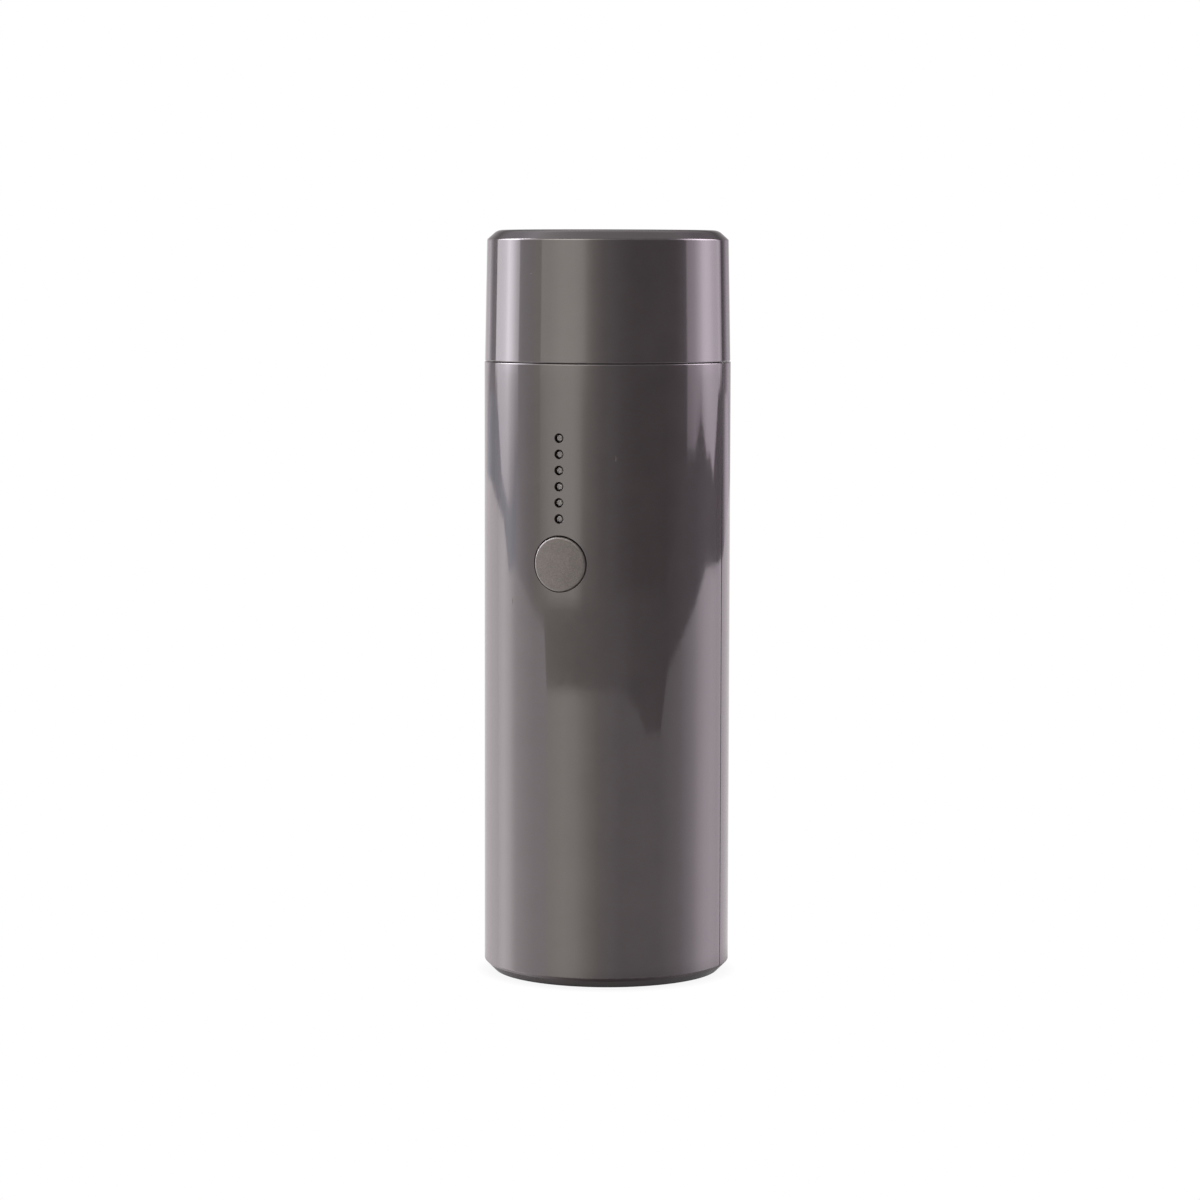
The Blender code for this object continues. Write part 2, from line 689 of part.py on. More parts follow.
def motor_inner_parts():
    """Shaft, bushings, magnets, armature, commutator, and a brush and terminal on each side."""
    rods("motor_shaft", SHAFT_RADIUS, 83.6 * MM, IMPELLER_TOP_Z - 1.0 * MM, look="core_steel", steps=16)
    tube("front_bushing", 3.05 * MM, SHAFT_BORE, 107.0 * MM, 109.9 * MM, "bronze", steps=24)
    tube("rear_bushing", 2.8 * MM, SHAFT_BORE, 83.3 * MM, 86.3 * MM, "bronze", steps=24)
    tube("commutator", 2.9 * MM, SHAFT_BORE, 87.7 * MM, 90.6 * MM, "copper", steps=24)
    armature()
    for label, side in (("left", -1), ("right", 1)):
        magnet(f"magnet_{label}", side)
        near, far = side * 3.05 * MM, side * 6.6 * MM
        box(f"brush_{label}", (near, -1.2 * MM, 87.9 * MM), (far, 1.2 * MM, 90.3 * MM), "carbon")
        near, far = side * 6.8 * MM, side * 7.2 * MM
        box(f"motor_terminal_{label}", (near, -1.5 * MM, 81.3 * MM), (far, 1.5 * MM, 90.4 * MM), "copper")
        seat = (side * MOTOR_SCREW_X, 0, MOTOR_TOP_Z + 1.85 * MM)
        screw(f"motor_screw_{label}", 1.8 * MM, 1.1 * MM, 0.95 * MM, 2.6 * MM, seat, UPRIGHT)


# Cells


def battery_tray():
    """End plates joined by a spine behind the cells."""
    width = 2 * (CELL_X + CELL_RADIUS + 0.7 * MM)
    depth = 2 * (CELL_RADIUS + 0.7 * MM)
    outline = [(x, y + CELL_Y) for x, y in rounded_outline(width, depth, depth / 2, 8)]
    low, high = CELL_LOW_Z - 1.5 * MM, CELL_TOP_Z + 1.9 * MM
    tray = plate("battery_tray", [outline], low, low + MM, "inner_plastic")
    spine = box("tray_spine", (-3 * MM, 10 * MM, low + 0.4 * MM), (3 * MM, 11.6 * MM, high - 0.4 * MM))
    join(tray, spine, plate("tray_top", [outline], high - 1.2 * MM, high))


def cell(name, side, nub_at_top):
    """A round lithium cell in its wrap; the positive end carries a nub."""
    nub_radius, nub_height, edge = 3.0 * MM, 0.5 * MM, 0.5 * MM
    body = CELL_LENGTH - nub_height
    profile = [
        (0, CELL_LENGTH),
        (nub_radius, CELL_LENGTH),
        (nub_radius, body),
        (CELL_RADIUS - edge, body),
        (CELL_RADIUS, body - edge),
        (CELL_RADIUS, edge),
        (CELL_RADIUS - edge, 0),
        (0, 0),
    ]
    foot, turn = (CELL_LOW_Z, UPRIGHT) if nub_at_top else (CELL_TOP_Z, UPSIDE_DOWN)
    turned(name, profile, "cell_wrap", 24, location=(side * CELL_X, CELL_Y, foot), turn=turn)


def cell_strips():
    """Nickel strips: one joins the cells at the bottom, and one leads off each at the top."""
    thick, gap = 0.15 * MM, 0.1 * MM
    bottom = CELL_LOW_Z - gap - thick
    box("cell_link_strip", (-12.4 * MM, -MM, bottom), (12.4 * MM, 7 * MM, bottom + thick), "nickel")
    top = CELL_TOP_Z + gap
    for label, side in (("positive", -1), ("negative", 1)):
        low = (side * CELL_X - 3 * MM, -8.6 * MM, top)
        high = (side * CELL_X + 3 * MM, 6 * MM, top + thick)
        box(f"cell_strip_{label}", low, high, "nickel")


# Front controls


def power_button():
    """The round push button. Its face follows the case's curve, with its origin at the middle."""
    flange = BUTTON_RADIUS + 0.9 * MM
    profile = [
        (0, 0),
        (1.6 * MM, 0),
        (3.2 * MM, 0),
        (4.7 * MM, 0),
        (5.25 * MM, -0.1 * MM),
        (BUTTON_RADIUS, -0.4 * MM),
        (BUTTON_RADIUS, -3.15 * MM),
        (flange, -3.15 * MM),
        (flange, -3.95 * MM),
        (2.0 * MM, -3.95 * MM),
        (2.0 * MM, -4.3 * MM),
        (0, -4.3 * MM),
    ]
    mesh = turned_mesh("power_button", profile, steps=32)
    face_radius = BODY_RADIUS + BUTTON_PROUD
    for vertex in mesh.vertices:
        if vertex.co.z > -1.0 * MM:
            vertex.co.z -= face_radius - math.sqrt(face_radius**2 - vertex.co.x**2)
    make_object("power_button", mesh, "button_plastic", (0, -face_radius, BUTTON_Z), FRONT)


def light_pipe():
    """One clear moulding that carries the light of each LED to its hole."""
    tip = BODY_RADIUS - LED_RECESS
    low, high = LED_HEIGHTS[0] - 1.0 * MM, LED_HEIGHTS[-1] + 1.0 * MM
    pipe = box("light_pipe", (-2.6 * MM, -22.7 * MM, low), (2.6 * MM, -21.3 * MM, high), "light_pipe")
    places = [(0, height) for height in LED_HEIGHTS]
    join(pipe, rods("light_posts", LIGHT_POST_RADIUS, 18.2 * MM, tip, places, steps=14, turn=FRONT))


def control_board():
    width, height, thickness = BOARD_SIZE
    outline = [(x, y + BOARD_MID_Z) for x, y in rounded_outline(width, height, 1.5 * MM, 3)]
    back = BOARD_FACE - thickness
    board = plate("control_board", [outline], back, BOARD_FACE, "circuit_board", turn=FRONT)
    cut(board, rods("board_holes", 1.0 * MM, 14 * MM, 18 * MM, BOARD_SCREWS, steps=14, turn=FRONT))


def on_board(name, x, z, size, look):
    """A box-shaped component on the board's front face."""
    width, height, depth = size
    foot = BOARD_FACE + 0.05 * MM
    low = (x - width / 2, -foot - depth, z - height / 2)
    high = (x + width / 2, -foot, z + height / 2)
    return box(name, low, high, look)


def board_parts():
    """The LEDs, the switch with its plunger, two chips and the board's screws."""
    for count, height in enumerate(LED_HEIGHTS, start=1):
        on_board(f"indicator_led_{count}", 0, height, (1.6 * MM, 0.8 * MM, 0.75 * MM), "led_lens")
    on_board("mcu_chip", 7.6 * MM, 91.0 * MM, (5 * MM, 5 * MM, 0.9 * MM), "chip_resin")
    on_board("motor_driver_chip", -7.6 * MM, 91.0 * MM, (4 * MM, 3 * MM, 0.9 * MM), "chip_resin")
    switch = on_board("switch_housing", 0, BUTTON_Z, (6 * MM, 6 * MM, 2.65 * MM), "chip_resin")
    cut(switch, rods("plunger_hole", 1.85 * MM, 17.4 * MM, 21 * MM, ((0, BUTTON_Z),), steps=20, turn=FRONT))
    plunger_top = BODY_RADIUS + BUTTON_PROUD - 4.35 * MM
    rods("switch_plunger", 1.65 * MM, 18.15 * MM, plunger_top, ((0, BUTTON_Z),), "white_plastic", 20, FRONT)
    for label, (x, z) in zip(("low", "high"), BOARD_SCREWS):
        seat = (x, -(BOARD_FACE - BOARD_SIZE[2] - 0.05 * MM), z)
        screw(f"board_screw_{label}", 1.7 * MM, 1.0 * MM, 0.7 * MM, 4.6 * MM, seat, REAR)


# Charging port


def charging_port():
    """Upright board behind the cells, with the metal receptacle and its contact tongue."""
    board_low, board_high = 12.4 * MM, 13.6 * MM
    outline = [(x, y - 25 * MM) for x, y in rounded_outline(16 * MM, 20 * MM, MM, 2)]
    plate("usb_board", [outline], board_low, board_high, "circuit_board", turn=REAR)
    width, height = PORT_SIZE
    back, mouth, sheet = 13.7 * MM, 22.6 * MM, 0.3 * MM
    place = (0, 0, PORT_Z)
    outer = rounded_outline(width, height, height / 2, 4)
    inner = rounded_outline(width - 2 * sheet, height - 2 * sheet, height / 2 - sheet, 4)
    receptacle = plate("usb_receptacle", [outer], back, mouth, "nickel", place, REAR)
    cut(receptacle, plate("receptacle_mouth", [inner], back + sheet, mouth + MM, None, place, REAR))
    tongue_low = (-3.3 * MM, back + sheet + 0.05 * MM, PORT_Z - 0.35 * MM)
    box("usb_tongue", tongue_low, (3.3 * MM, mouth - 0.6 * MM, PORT_Z + 0.35 * MM), "chip_resin")


def port_cover():
    """Rubber flap over the charging port. Its origin is on its hinge, the roll along its upper edge."""
    width, height = PORT_COVER_SIZE
    hinge = (0, PORT_HINGE_Y, PORT_HINGE_Z)
    drop = height / 2
    outline = [(x, y + drop) for x, y in rounded_outline(width, height, 1.8 * MM, 4)]
    flap = plate("port_cover", [outline], -4 * MM, 2 * MM, "soft_rubber", hinge, REAR)
    keep_inside(flap, case_core("cover_outside", BODY_RADIUS))
    cut(flap, case_core("cover_inside", PORT_POCKET_RADIUS + 0.15 * MM))
    plug_outline = rounded_outline(PORT_SIZE[0] - 0.9 * MM, PORT_SIZE[1] - 0.9 * MM, 1.2 * MM, 3)
    plug_centre = (0, 0, PORT_Z)
    roll = rods("cover_roll", 0.5 * MM, -4 * MM, 4 * MM, steps=12)
    roll.location = hinge
    roll.rotation_euler = (0, math.radians(90), 0)
    join(flap, plate("cover_plug", [plug_outline], 22.75 * MM, 24.6 * MM, None, plug_centre, REAR), roll)


# Wiring


def wiring():
    """Leads from the cells and the motor to the control board, and the charging cable round the cells."""
    board_back = -(BOARD_FACE - BOARD_SIZE[2]) + 0.2 * MM
    for label, side, look in (("positive", -1, "wire_red"), ("negative", 1, "wire_black")):
        stops = [
            (side * CELL_X, -8.0 * MM, CELL_TOP_Z + 1.0 * MM),
            (side * 9.0 * MM, -9.6 * MM, 79.2 * MM),
            (side * 5.4 * MM, -12.6 * MM, 76.0 * MM),
            (side * 5.0 * MM, board_back, 75.6 * MM),
        ]
        wire(f"cell_wire_{label}", stops, 0.6 * MM, look)
        stops = [
            (side * 7.0 * MM, -2.2 * MM, 82.2 * MM),
            (side * 6.6 * MM, -6.0 * MM, 81.9 * MM),
            (side * 3.2 * MM, -12.0 * MM, 81.0 * MM),
            (side * 2.8 * MM, board_back, 80.8 * MM),
        ]
        wire(f"motor_wire_{label}", stops, 0.5 * MM, look)
    radius, low, high, count = 21.3 * MM, 35 * MM, 75 * MM, 5
    start, end = math.radians(52), math.radians(-38)
    stops = [(5.0 * MM, 14.6 * MM, 33.4 * MM), (9.5 * MM, 16.6 * MM, 34 * MM)]
    for i in range(count):
        t = i / (count - 1)
        angle = start + (end - start) * t
        stops.append((radius * math.cos(angle), radius * math.sin(angle), low + (high - low) * t))
    stops += [(11.6 * MM, -13.4 * MM, 78.0 * MM), (9.6 * MM, board_back + 0.4 * MM, 79.4 * MM)]
    wire("charging_cable", stops, 0.75 * MM, "wire_black")


def build():
    core = case_core("wall_core", MID_WALL)
    pillars = screw_pillars(core)
    ribs = cell_ribs(core)
    front_shell(core, pillars, ribs)
    rear_shell(core, pillars, ribs)
    case_screws()
    cap()
    intake_grille()
    dust_filter()
    outlet_housing()
    nozzle_sleeve()
    cap_seal()
    fan_base()
    impeller()
    motor_can()
    motor_end_bell()
    motor_inner_parts()
    battery_tray()
    cell("battery_cell_left", -1, nub_at_top=True)
    cell("battery_cell_right", 1, nub_at_top=False)
    cell_strips()
    power_button()
    light_pipe()
    control_board()
    board_parts()
    charging_port()
    port_cover()
    wiring()


clear_scene()
parts = make_collection("air_mattress_pump")
helpers = make_collection("helpers")
build()
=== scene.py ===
"""Looks of the electric air mattress pump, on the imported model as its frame.

The pieces that can be seen are made again with round edges and fine detail, in the places of the packed
ones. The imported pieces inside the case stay, and get materials. Lengths are in metres, +Z is up, and the
front, with the button and the row of indicator lights, faces -Y.
"""

import json
import math

import bmesh
import bpy
from mathutils import Matrix, Quaternion, Vector, noise


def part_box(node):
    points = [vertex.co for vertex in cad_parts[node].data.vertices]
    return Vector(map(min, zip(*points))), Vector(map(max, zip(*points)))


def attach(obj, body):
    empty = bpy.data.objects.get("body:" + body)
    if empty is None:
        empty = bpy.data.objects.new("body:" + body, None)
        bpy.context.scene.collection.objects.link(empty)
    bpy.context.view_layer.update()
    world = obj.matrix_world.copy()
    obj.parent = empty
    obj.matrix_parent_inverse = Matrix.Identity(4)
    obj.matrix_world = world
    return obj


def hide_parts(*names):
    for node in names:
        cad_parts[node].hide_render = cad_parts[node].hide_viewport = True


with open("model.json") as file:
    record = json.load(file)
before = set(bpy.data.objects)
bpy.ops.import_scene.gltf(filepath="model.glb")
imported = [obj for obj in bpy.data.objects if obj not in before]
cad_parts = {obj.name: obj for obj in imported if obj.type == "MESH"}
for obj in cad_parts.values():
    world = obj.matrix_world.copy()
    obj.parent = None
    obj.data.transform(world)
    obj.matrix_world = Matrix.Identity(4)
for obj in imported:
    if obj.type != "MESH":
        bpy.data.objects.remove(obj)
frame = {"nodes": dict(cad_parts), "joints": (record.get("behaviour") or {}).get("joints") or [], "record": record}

MM = 0.001
MERGE = 0.0005 * MM
SHARP_ANGLE = math.radians(32)
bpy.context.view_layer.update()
FRONT_SIDE = -1
REAR_SIDE = 1

# Finish of the meshes
ROUND_STEPS = 240  # round the case
FINE_STEPS = 96  # round a small turned piece
ARC_STEPS = 5  # in a rounded edge
SUPPORT = 0.04 * MM  # from a rounded edge to the line of points that keeps the part beside it flat
INSIDE = 20 * MM  # distance from the axis at which the cutters of the wall's holes start
OUTSIDE = 2 * MM  # how far they reach past the wall


def mm(*values):
    """Some lengths in mm, as metres."""
    return tuple(value * MM for value in values)


def centre_of(node):
    low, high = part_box(node)
    return (low + high) / 2


# Case, as packed
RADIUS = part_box("front_shell")[1].x
SHELL_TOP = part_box("front_shell")[1].z
SEAM_GAP = -2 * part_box("front_shell")[1].y
WALL = 1.8 * MM
BORE = RADIUS - WALL
CHAMFER = 2.1 * MM
EDGE = 0.3 * MM  # rounding of the case's outer edges
RIM_EDGE = 0.26 * MM  # at the top of the case
JOINT_EDGE = 0.18 * MM  # at the foot of the cap
SEAM_EDGE = 0.16 * MM
# Lips inside the seams: distances from the axis, then heights
LIPS = ((mm(23.3, 23.95), mm(5.2, 122.4)), (mm(18.2, 21.5), mm(0.5, 1.5)))
LIP_ROOT = 0.5 * MM
LIP_DEPTH = 0.7 * MM
LIP_CLEARANCE = 0.08 * MM
HOLE_EDGE = 0.15 * MM
LED_HOLE_EDGE = 0.06 * MM
BUTTON_HOLE_EDGE = 0.08 * MM
INTAKE_RADIUS = 17.6 * MM
GRILLE_GROOVE = mm(2.0, 3.7, 20.0)  # low, high, radius
FILTER_SEAT = mm(5.0, 18.8)  # top, radius
FAN_RIB = mm(111.2, 112.8, 21.6)  # low, high, radius
TOP_LIP = mm(122.7, 22.1)  # low, radius
CELL_RIB_HALF = 0.8 * MM
CELL_RIB_HEIGHTS = mm(44, 47)
FRONT_RIB_X = 9.4 * MM
FRONT_RIB_ENDS = mm(-6.5, -22.2)
REAR_RIB_ENDS = mm(11.9, 24)

# Cap
CAP_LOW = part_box("cap")[0].z
CAP_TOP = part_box("cap")[1].z
CAP_RADIUS_LOW = 24.9 * MM
CAP_RADIUS_HIGH = 24.45 * MM
CAP_CHAMFER_DROP = 1.9 * MM
CAP_TOP_EDGE = 2.4 * MM
CAP_SIDE_EDGE = 0.45 * MM

# Button and indicator lights
BUTTON_FACE = -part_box("power_button")[0].y
BUTTON_Z = centre_of("power_button").z
BUTTON_RADIUS = 5.5 * MM
BUTTON_GAP = 0.16 * MM
BUTTON_PLAY = mm(0.06, 0.07)  # its opening stands this much to the right and above it
BUTTON_EDGE = 0.45 * MM
LED_HEIGHTS = [centre_of(f"indicator_led_{count}").z for count in range(1, 7)]
LED_HOLE_RADIUS = 0.95 * MM
LED_TIP = RADIUS - 0.42 * MM
LED_POST_RADIUS = 0.66 * MM

# Case screws: one of each pair with its pillar's radius
SCREW_PAIRS = (("case_screw_1", 2.5 * MM), ("case_screw_3", 2.9 * MM))
SCREW_SEAT_Y = 7.0 * MM
SCREW_WELL_RADIUS = 1.8 * MM
# Bars through the screws' places: radius, and the two ends along Y
SCREW_HOLE = mm(1.2, -1, 8)
SCREW_PILOT = mm(0.95, 1, -9)
BOARD_POST = mm(2.2, -17.15, -22.4)
BOARD_PILOT = mm(0.8, -16, -21.5)

# Charging port
PORT_Z = centre_of("usb_receptacle").z
PORT_SIZE = mm(8.9, 3.3)
PORT_CORNER = 1.9 * MM
PORT_CLEARANCE = 0.35 * MM  # round the receptacle
PORT_RAIL = (mm(8.3, 12.6, 15.5), mm(9.3, 22.4, 32))  # two corners, beside its board
PORT_POCKET_RADIUS = 24.0 * MM  # of its floor
HINGE = next(Vector(joint["pos_m"]) for joint in frame["joints"] if joint["name"] == "port_cover_swing")
COVER_WIDTH = 14.0 * MM
COVER_LOW = HINGE.z - 11.1 * MM
COVER_TOP = HINGE.z + 0.45 * MM
COVER_MIDDLE = (COVER_LOW + COVER_TOP) / 2
COVER_CORNER = 1.8 * MM
COVER_GAP = 0.3 * MM
COVER_EDGE = 0.25 * MM
HINGE_GROOVE = mm(0.75, 0.34, 0.12)  # below the hinge, radius, its centre's height above the flap
NAIL_NOTCH_RADIUS = 2.3 * MM
PLUG_FIT = 0.45 * MM  # from the receptacle's outline to the plug's
PLUG_CORNER = 1.19 * MM
# Rounded end of the plug: inset, distance from the axis
PLUG_STEPS = (mm(0.30, 22.75), mm(0.10, 22.85), mm(0, 23.1), mm(0, 24.6))

# Looks
NOISE_RANGE = (0.3, 0.7)  # the part of a noise's values that is used
FLECK_RANGE = (0.35, 0.65)
BROAD_SIZE = 7.0  # mm, of the patches that vary a colour
SMUDGE_SIZE = 2.2  # mm, of the patches that vary a roughness
SPECK_SPACING = 3.4  # mm
SPECK_SIZE = 0.10  # mm
SPECK_COLOUR = (0.42, 0.40, 0.38)
WEAR_SIZE = 3.0  # mm, of the rubbed patches along an edge
WEAR_REACH = (0.05, 0.35)  # mm from the edge between which the wear fades
WEAR_RANGE = (0.45, 0.75)  # of the noise that places it
WEAR_SHARE = 0.4
WEAR_LIGHTENING = 2.5
WEAR_ROUGHENING = 0.12
CASE_COLOUR = (0.0425, 0.0355, 0.0375)
BUTTON_COLOUR = (0.053, 0.047, 0.043)
BUTTON_SPECULAR = (0.34, 0.62)  # on the face and on the bevel
# Distances from the button's middle between which the bevel's look takes over
BUTTON_BEVEL = (BUTTON_RADIUS - BUTTON_EDGE, BUTTON_RADIUS - 0.6 * BUTTON_EDGE)
BEVEL_SMOOTHING = 0.14
LIGHT_PIPE_COLOUR = (0.085, 0.081, 0.079)
MASK_COLOURS = ((0.010, 0.075, 0.030), (0.020, 0.140, 0.060))  # solder mask, between the traces and on them
TIN_COLOUR = (0.62, 0.60, 0.56)
SHEET_COLOURS = ((0.22, 0.21, 0.20), (0.46, 0.45, 0.44))
# Colour, roughness range, mottle, (grain size, grain depth), metallic, fleck
PLAIN_LOOKS = {
    "inner_plastic": ((0.030, 0.030, 0.032), (0.40, 0.52), 0.12, (0.30, 0.010), 0.0, 0.10),
    "white_plastic": ((0.70, 0.70, 0.67), (0.38, 0.50), 0.04, (0.40, 0.008), 0.0, 0.03),
    "soft_rubber": ((0.050, 0.047, 0.045), (0.66, 0.82), 0.12, (0.22, 0.012), 0.0, 0.15),
    "filter_foam": ((0.018, 0.018, 0.018), (0.90, 1.00), 0.40, (0.50, 0.300), 0.0, 0.40),
    "chip_resin": ((0.014, 0.014, 0.016), (0.40, 0.55), 0.15, (0.15, 0.012), 0.0, 0.15),
    "led_lens": ((0.80, 0.77, 0.56), (0.22, 0.32), 0.06, (0.60, 0.004), 0.0, 0.03),
    "cell_wrap": ((0.045, 0.150, 0.270), (0.24, 0.36), 0.08, (3.00, 0.060), 0.0, 0.04),
    "nickel": ((0.60, 0.58, 0.54), (0.24, 0.38), 0.08, (0.50, 0.006), 1.0, 0.06),
    "zinc_steel": ((0.55, 0.56, 0.57), (0.26, 0.42), 0.12, (1.20, 0.010), 1.0, 0.08),
    "dark_steel": ((0.050, 0.050, 0.055), (0.34, 0.48), 0.15, (0.40, 0.008), 1.0, 0.10),
    "ferrite": ((0.045, 0.043, 0.042), (0.62, 0.78), 0.15, (0.25, 0.015), 0.0, 0.18),
    "copper": ((0.75, 0.37, 0.22), (0.24, 0.38), 0.12, (0.60, 0.010), 1.0, 0.08),
    "bronze": ((0.58, 0.42, 0.20), (0.34, 0.48), 0.12, (0.30, 0.012), 1.0, 0.10),
    "carbon": ((0.028, 0.028, 0.028), (0.55, 0.70), 0.20, (0.20, 0.015), 0.0, 0.15),
    "wire_red": ((0.48, 0.020, 0.020), (0.38, 0.50), 0.08, (0.80, 0.010), 0.0, 0.05),
    "wire_black": ((0.018, 0.018, 0.018), (0.38, 0.50), 0.12, (0.80, 0.010), 0.0, 0.08),
}

# Studio
VIEW_BEARING = math.radians(22.6)  # of the camera, from the front towards +X
VIEW_DISTANCE = 780 * MM
VIEW_HEIGHT = 145 * MM
VIEW_LENS = 115
VIEW_ASIDE = 1.45 * MM  # the pump stands this much to the right of the picture's middle
VIEW_RAISE = 0.29 * MM  # and this much below it
VIEW_ROLL = math.radians(0.13)

WALL_REACH = 1900 * MM  # from the case to the light walls
CEILING_HEIGHT = 2600 * MM
CEILING_RADIUS = 1990 * MM
CEILING_GLOW = 1.5
CEILING_LEAN = 0.45  # how much brighter the ceiling is at the camera's left edge, and dimmer at its right

# Tints of the lights
WHITE = (1.0, 1.0, 1.0)
WARM = (1.000, 0.935, 0.870)
ROSE = (1.000, 0.935, 0.960)
PINK = (1.000, 0.935, 1.005)
LILAC = (1.000, 0.870, 0.985)
MAUVE = (1.000, 0.895, 0.975)

COLUMN_STEPS = 3  # from one column of the lights below to the next
# Light walls round the pump, as columns: bearing from the camera's in degrees, positive to its right; the
# height on the case, in mm, at which the camera sees the foot of the lamp mirrored; brightness below the
# foot, at the foot and high up; tint
LIGHT_COLUMNS = (
    (-180, 90, 0.7, 0.7, 0.7, ROSE),
    (-155, 95, 1.1, 1.1, 1.1, ROSE),
    (-148, 110, 1.0, 0.8, 1.45, PINK),
    (-143, 118, 0.95, 0.6, 1.0, PINK),
    (-137, 118, 0.85, 0.75, 0.6, PINK),
    (-130, 118, 0.95, 0.8, 0.75, PINK),
    (-129, 118, 1.05, 0.82, 0.78, PINK),
    (-127.8, 117, 1.12, 0.85, 3.5, PINK),
    (-126, 117, 1.2, 0.9, 3.8, PINK),
    (-123, 115, 1.3, 3.0, 4.2, PINK),
    (-116, 102, 1.8, 3.7, 5.4, PINK),
    (-111, 99, 2.1, 4.1, 6.8, PINK),
    (-106, 96.5, 2.5, 4.1, 9.6, PINK),
    (-101, 95, 2.6, 2.95, 8.8, PINK),
    (-97, 98, 2.4, 2.65, 7.2, PINK),
    (-94, 104, 2.4, 2.3, 5.9, PINK),
    (-91.0, 104, 2.4, 2.2, 5.0, PINK),
    (-90.2, 103, 2.3, 2.1, 2.4, PINK),
    (-85, 88, 2.1, 2.0, 2.1, ROSE),
    (-77, 80, 1.9, 1.7, 2.0, ROSE),
    (-70, 78, 1.9, 1.7, 2.1, WARM),
    (-65, 78, 1.9, 1.85, 2.15, WARM),
    (-63.8, 78, 1.85, 2.0, 3.3, WARM),
    (-55, 77, 1.5, 2.9, 3.5, WARM),
    (-43, 77, 1.3, 3.4, 4.2, WARM),
    (-32, 77, 1.2, 3.4, 4.2, WARM),
    (-26, 77, 1.1, 2.6, 3.9, WARM),
    (-22, 77, 1.1, 1.6, 3.4, WARM),
    (-18, 77, 1.05, 1.35, 2.4, WARM),
    (-13, 77, 1.0, 1.2, 1.7, WARM),
    (-5, 77, 0.9, 0.85, 1.1, WARM),
    (3, 77, 0.8, 0.75, 0.82, ROSE),
    (14, 80, 0.7, 0.45, 0.55, ROSE),
    (25, 80, 0.5, 0.3, 0.4, ROSE),
    (55, 80, 0.4, 0.25, 0.4, ROSE),
    (66, 90, 0.5, 0.45, 0.5, LILAC),
    (74, 105, 0.6, 0.55, 0.8, LILAC),
    (77.5, 107, 0.6, 0.6, 1.1, LILAC),
    (79.5, 107, 0.6, 2.0, 3.0, LILAC),
    (88, 107, 0.6, 2.6, 3.8, LILAC),
    (96, 113, 0.65, 2.0, 5.6, LILAC),
    (100, 111, 0.65, 3.35, 6.6, LILAC),
    (105, 106, 0.65, 3.6, 6.4, LILAC),
    (110, 106, 0.6, 3.4, 5.5, LILAC),
    (116, 102, 0.5, 2.9, 4.0, LILAC),
    (121, 110, 0.45, 2.4, 3.2, LILAC),
    (125, 118, 0.36, 2.1, 2.9, LILAC),
    (128, 119, 0.36, 1.9, 2.9, LILAC),
    (130.5, 119, 0.36, 0.5, 2.1, LILAC),
    (133, 119, 0.36, 0.45, 1.5, LILAC),
    (134.2, 119, 0.36, 0.42, 0.35, LILAC),
    (138, 118, 0.5, 0.4, 0.25, LILAC),
    (144, 118, 1.2, 0.6, 0.6, LILAC),
    (150, 118, 1.2, 0.9, 0.95, LILAC),
    (160, 100, 0.8, 0.7, 0.7, ROSE),
    (180, 90, 0.7, 0.7, 0.7, ROSE),
)
FOOT_FADE = 0.5  # mm on the case, over which the brightness changes at the lamps' feet
HIGH_MARK = 126  # height on the case, in mm, above which the lamps have their high brightness
MIDDLE_MARK = 122  # and one below it, where they are MIDDLE_SHARE of the way from their low brightness
MIDDLE_SHARE = 0.4
LOW_MARK = 40  # and the one down to which the walls reach
COOL = (0.93, 0.935, 1.05)  # tint below the lamps at bearings left of COOL_BEARING
COOL_BEARING = -92
# Levels further up the walls: height, and how many times brighter the walls are there, beside the pump and
# behind it
UPPER_LEVELS = ((250 * MM, 1.0, 0.8), (900 * MM, 3.3, 0.25))
BEHIND = (126, 140)  # bearings between which the one changes to the other

# Table round the pump, as columns: bearing, reach of its edge in mm, brightness towards it, tint
TABLE_COLUMNS = (
    (-180, 1900, 0.70, ROSE),
    (-155, 1820, 1.20, ROSE),
    (-140, 1770, 1.80, ROSE),
    (-125, 1550, 2.65, ROSE),
    (-113, 1390, 4.20, ROSE),
    (-104, 1030, 4.20, ROSE),
    (-95, 1080, 3.20, ROSE),
    (-87, 990, 3.00, ROSE),
    (-72, 857, 2.70, ROSE),
    (-60, 780, 2.75, ROSE),
    (-57, 560, 2.80, WARM),
    (-41, 560, 3.30, WARM),
    (-30, 560, 3.00, WARM),
    (-19, 560, 2.20, WARM),
    (-8, 560, 1.50, WARM),
    (3, 560, 1.28, ROSE),
    (14, 560, 1.03, ROSE),
    (28, 500, 1.03, ROSE),
    (36, 440, 1.03, ROSE),
    (50, 440, 1.05, ROSE),
    (57, 600, 1.20, ROSE),
    (60, 640, 1.27, ROSE),
    (73, 730, 1.66, MAUVE),
    (80, 790, 2.10, MAUVE),
    (88, 850, 2.55, MAUVE),
    (97, 960, 3.30, MAUVE),
    (105, 1060, 3.50, MAUVE),
    (115, 1070, 3.10, MAUVE),
    (127, 1080, 2.10, MAUVE),
    (139, 1120, 1.60, MAUVE),
    (155, 1500, 1.20, ROSE),
    (180, 1900, 0.70, ROSE),
)
STEEP = (0.75, 0.95)  # vertical parts of a ray between which the table dims, to STEEP_SHARE
STEEP_SHARE = 0.25
TABLE_TOP_GLOW = 5.0  # above every brightness in the table
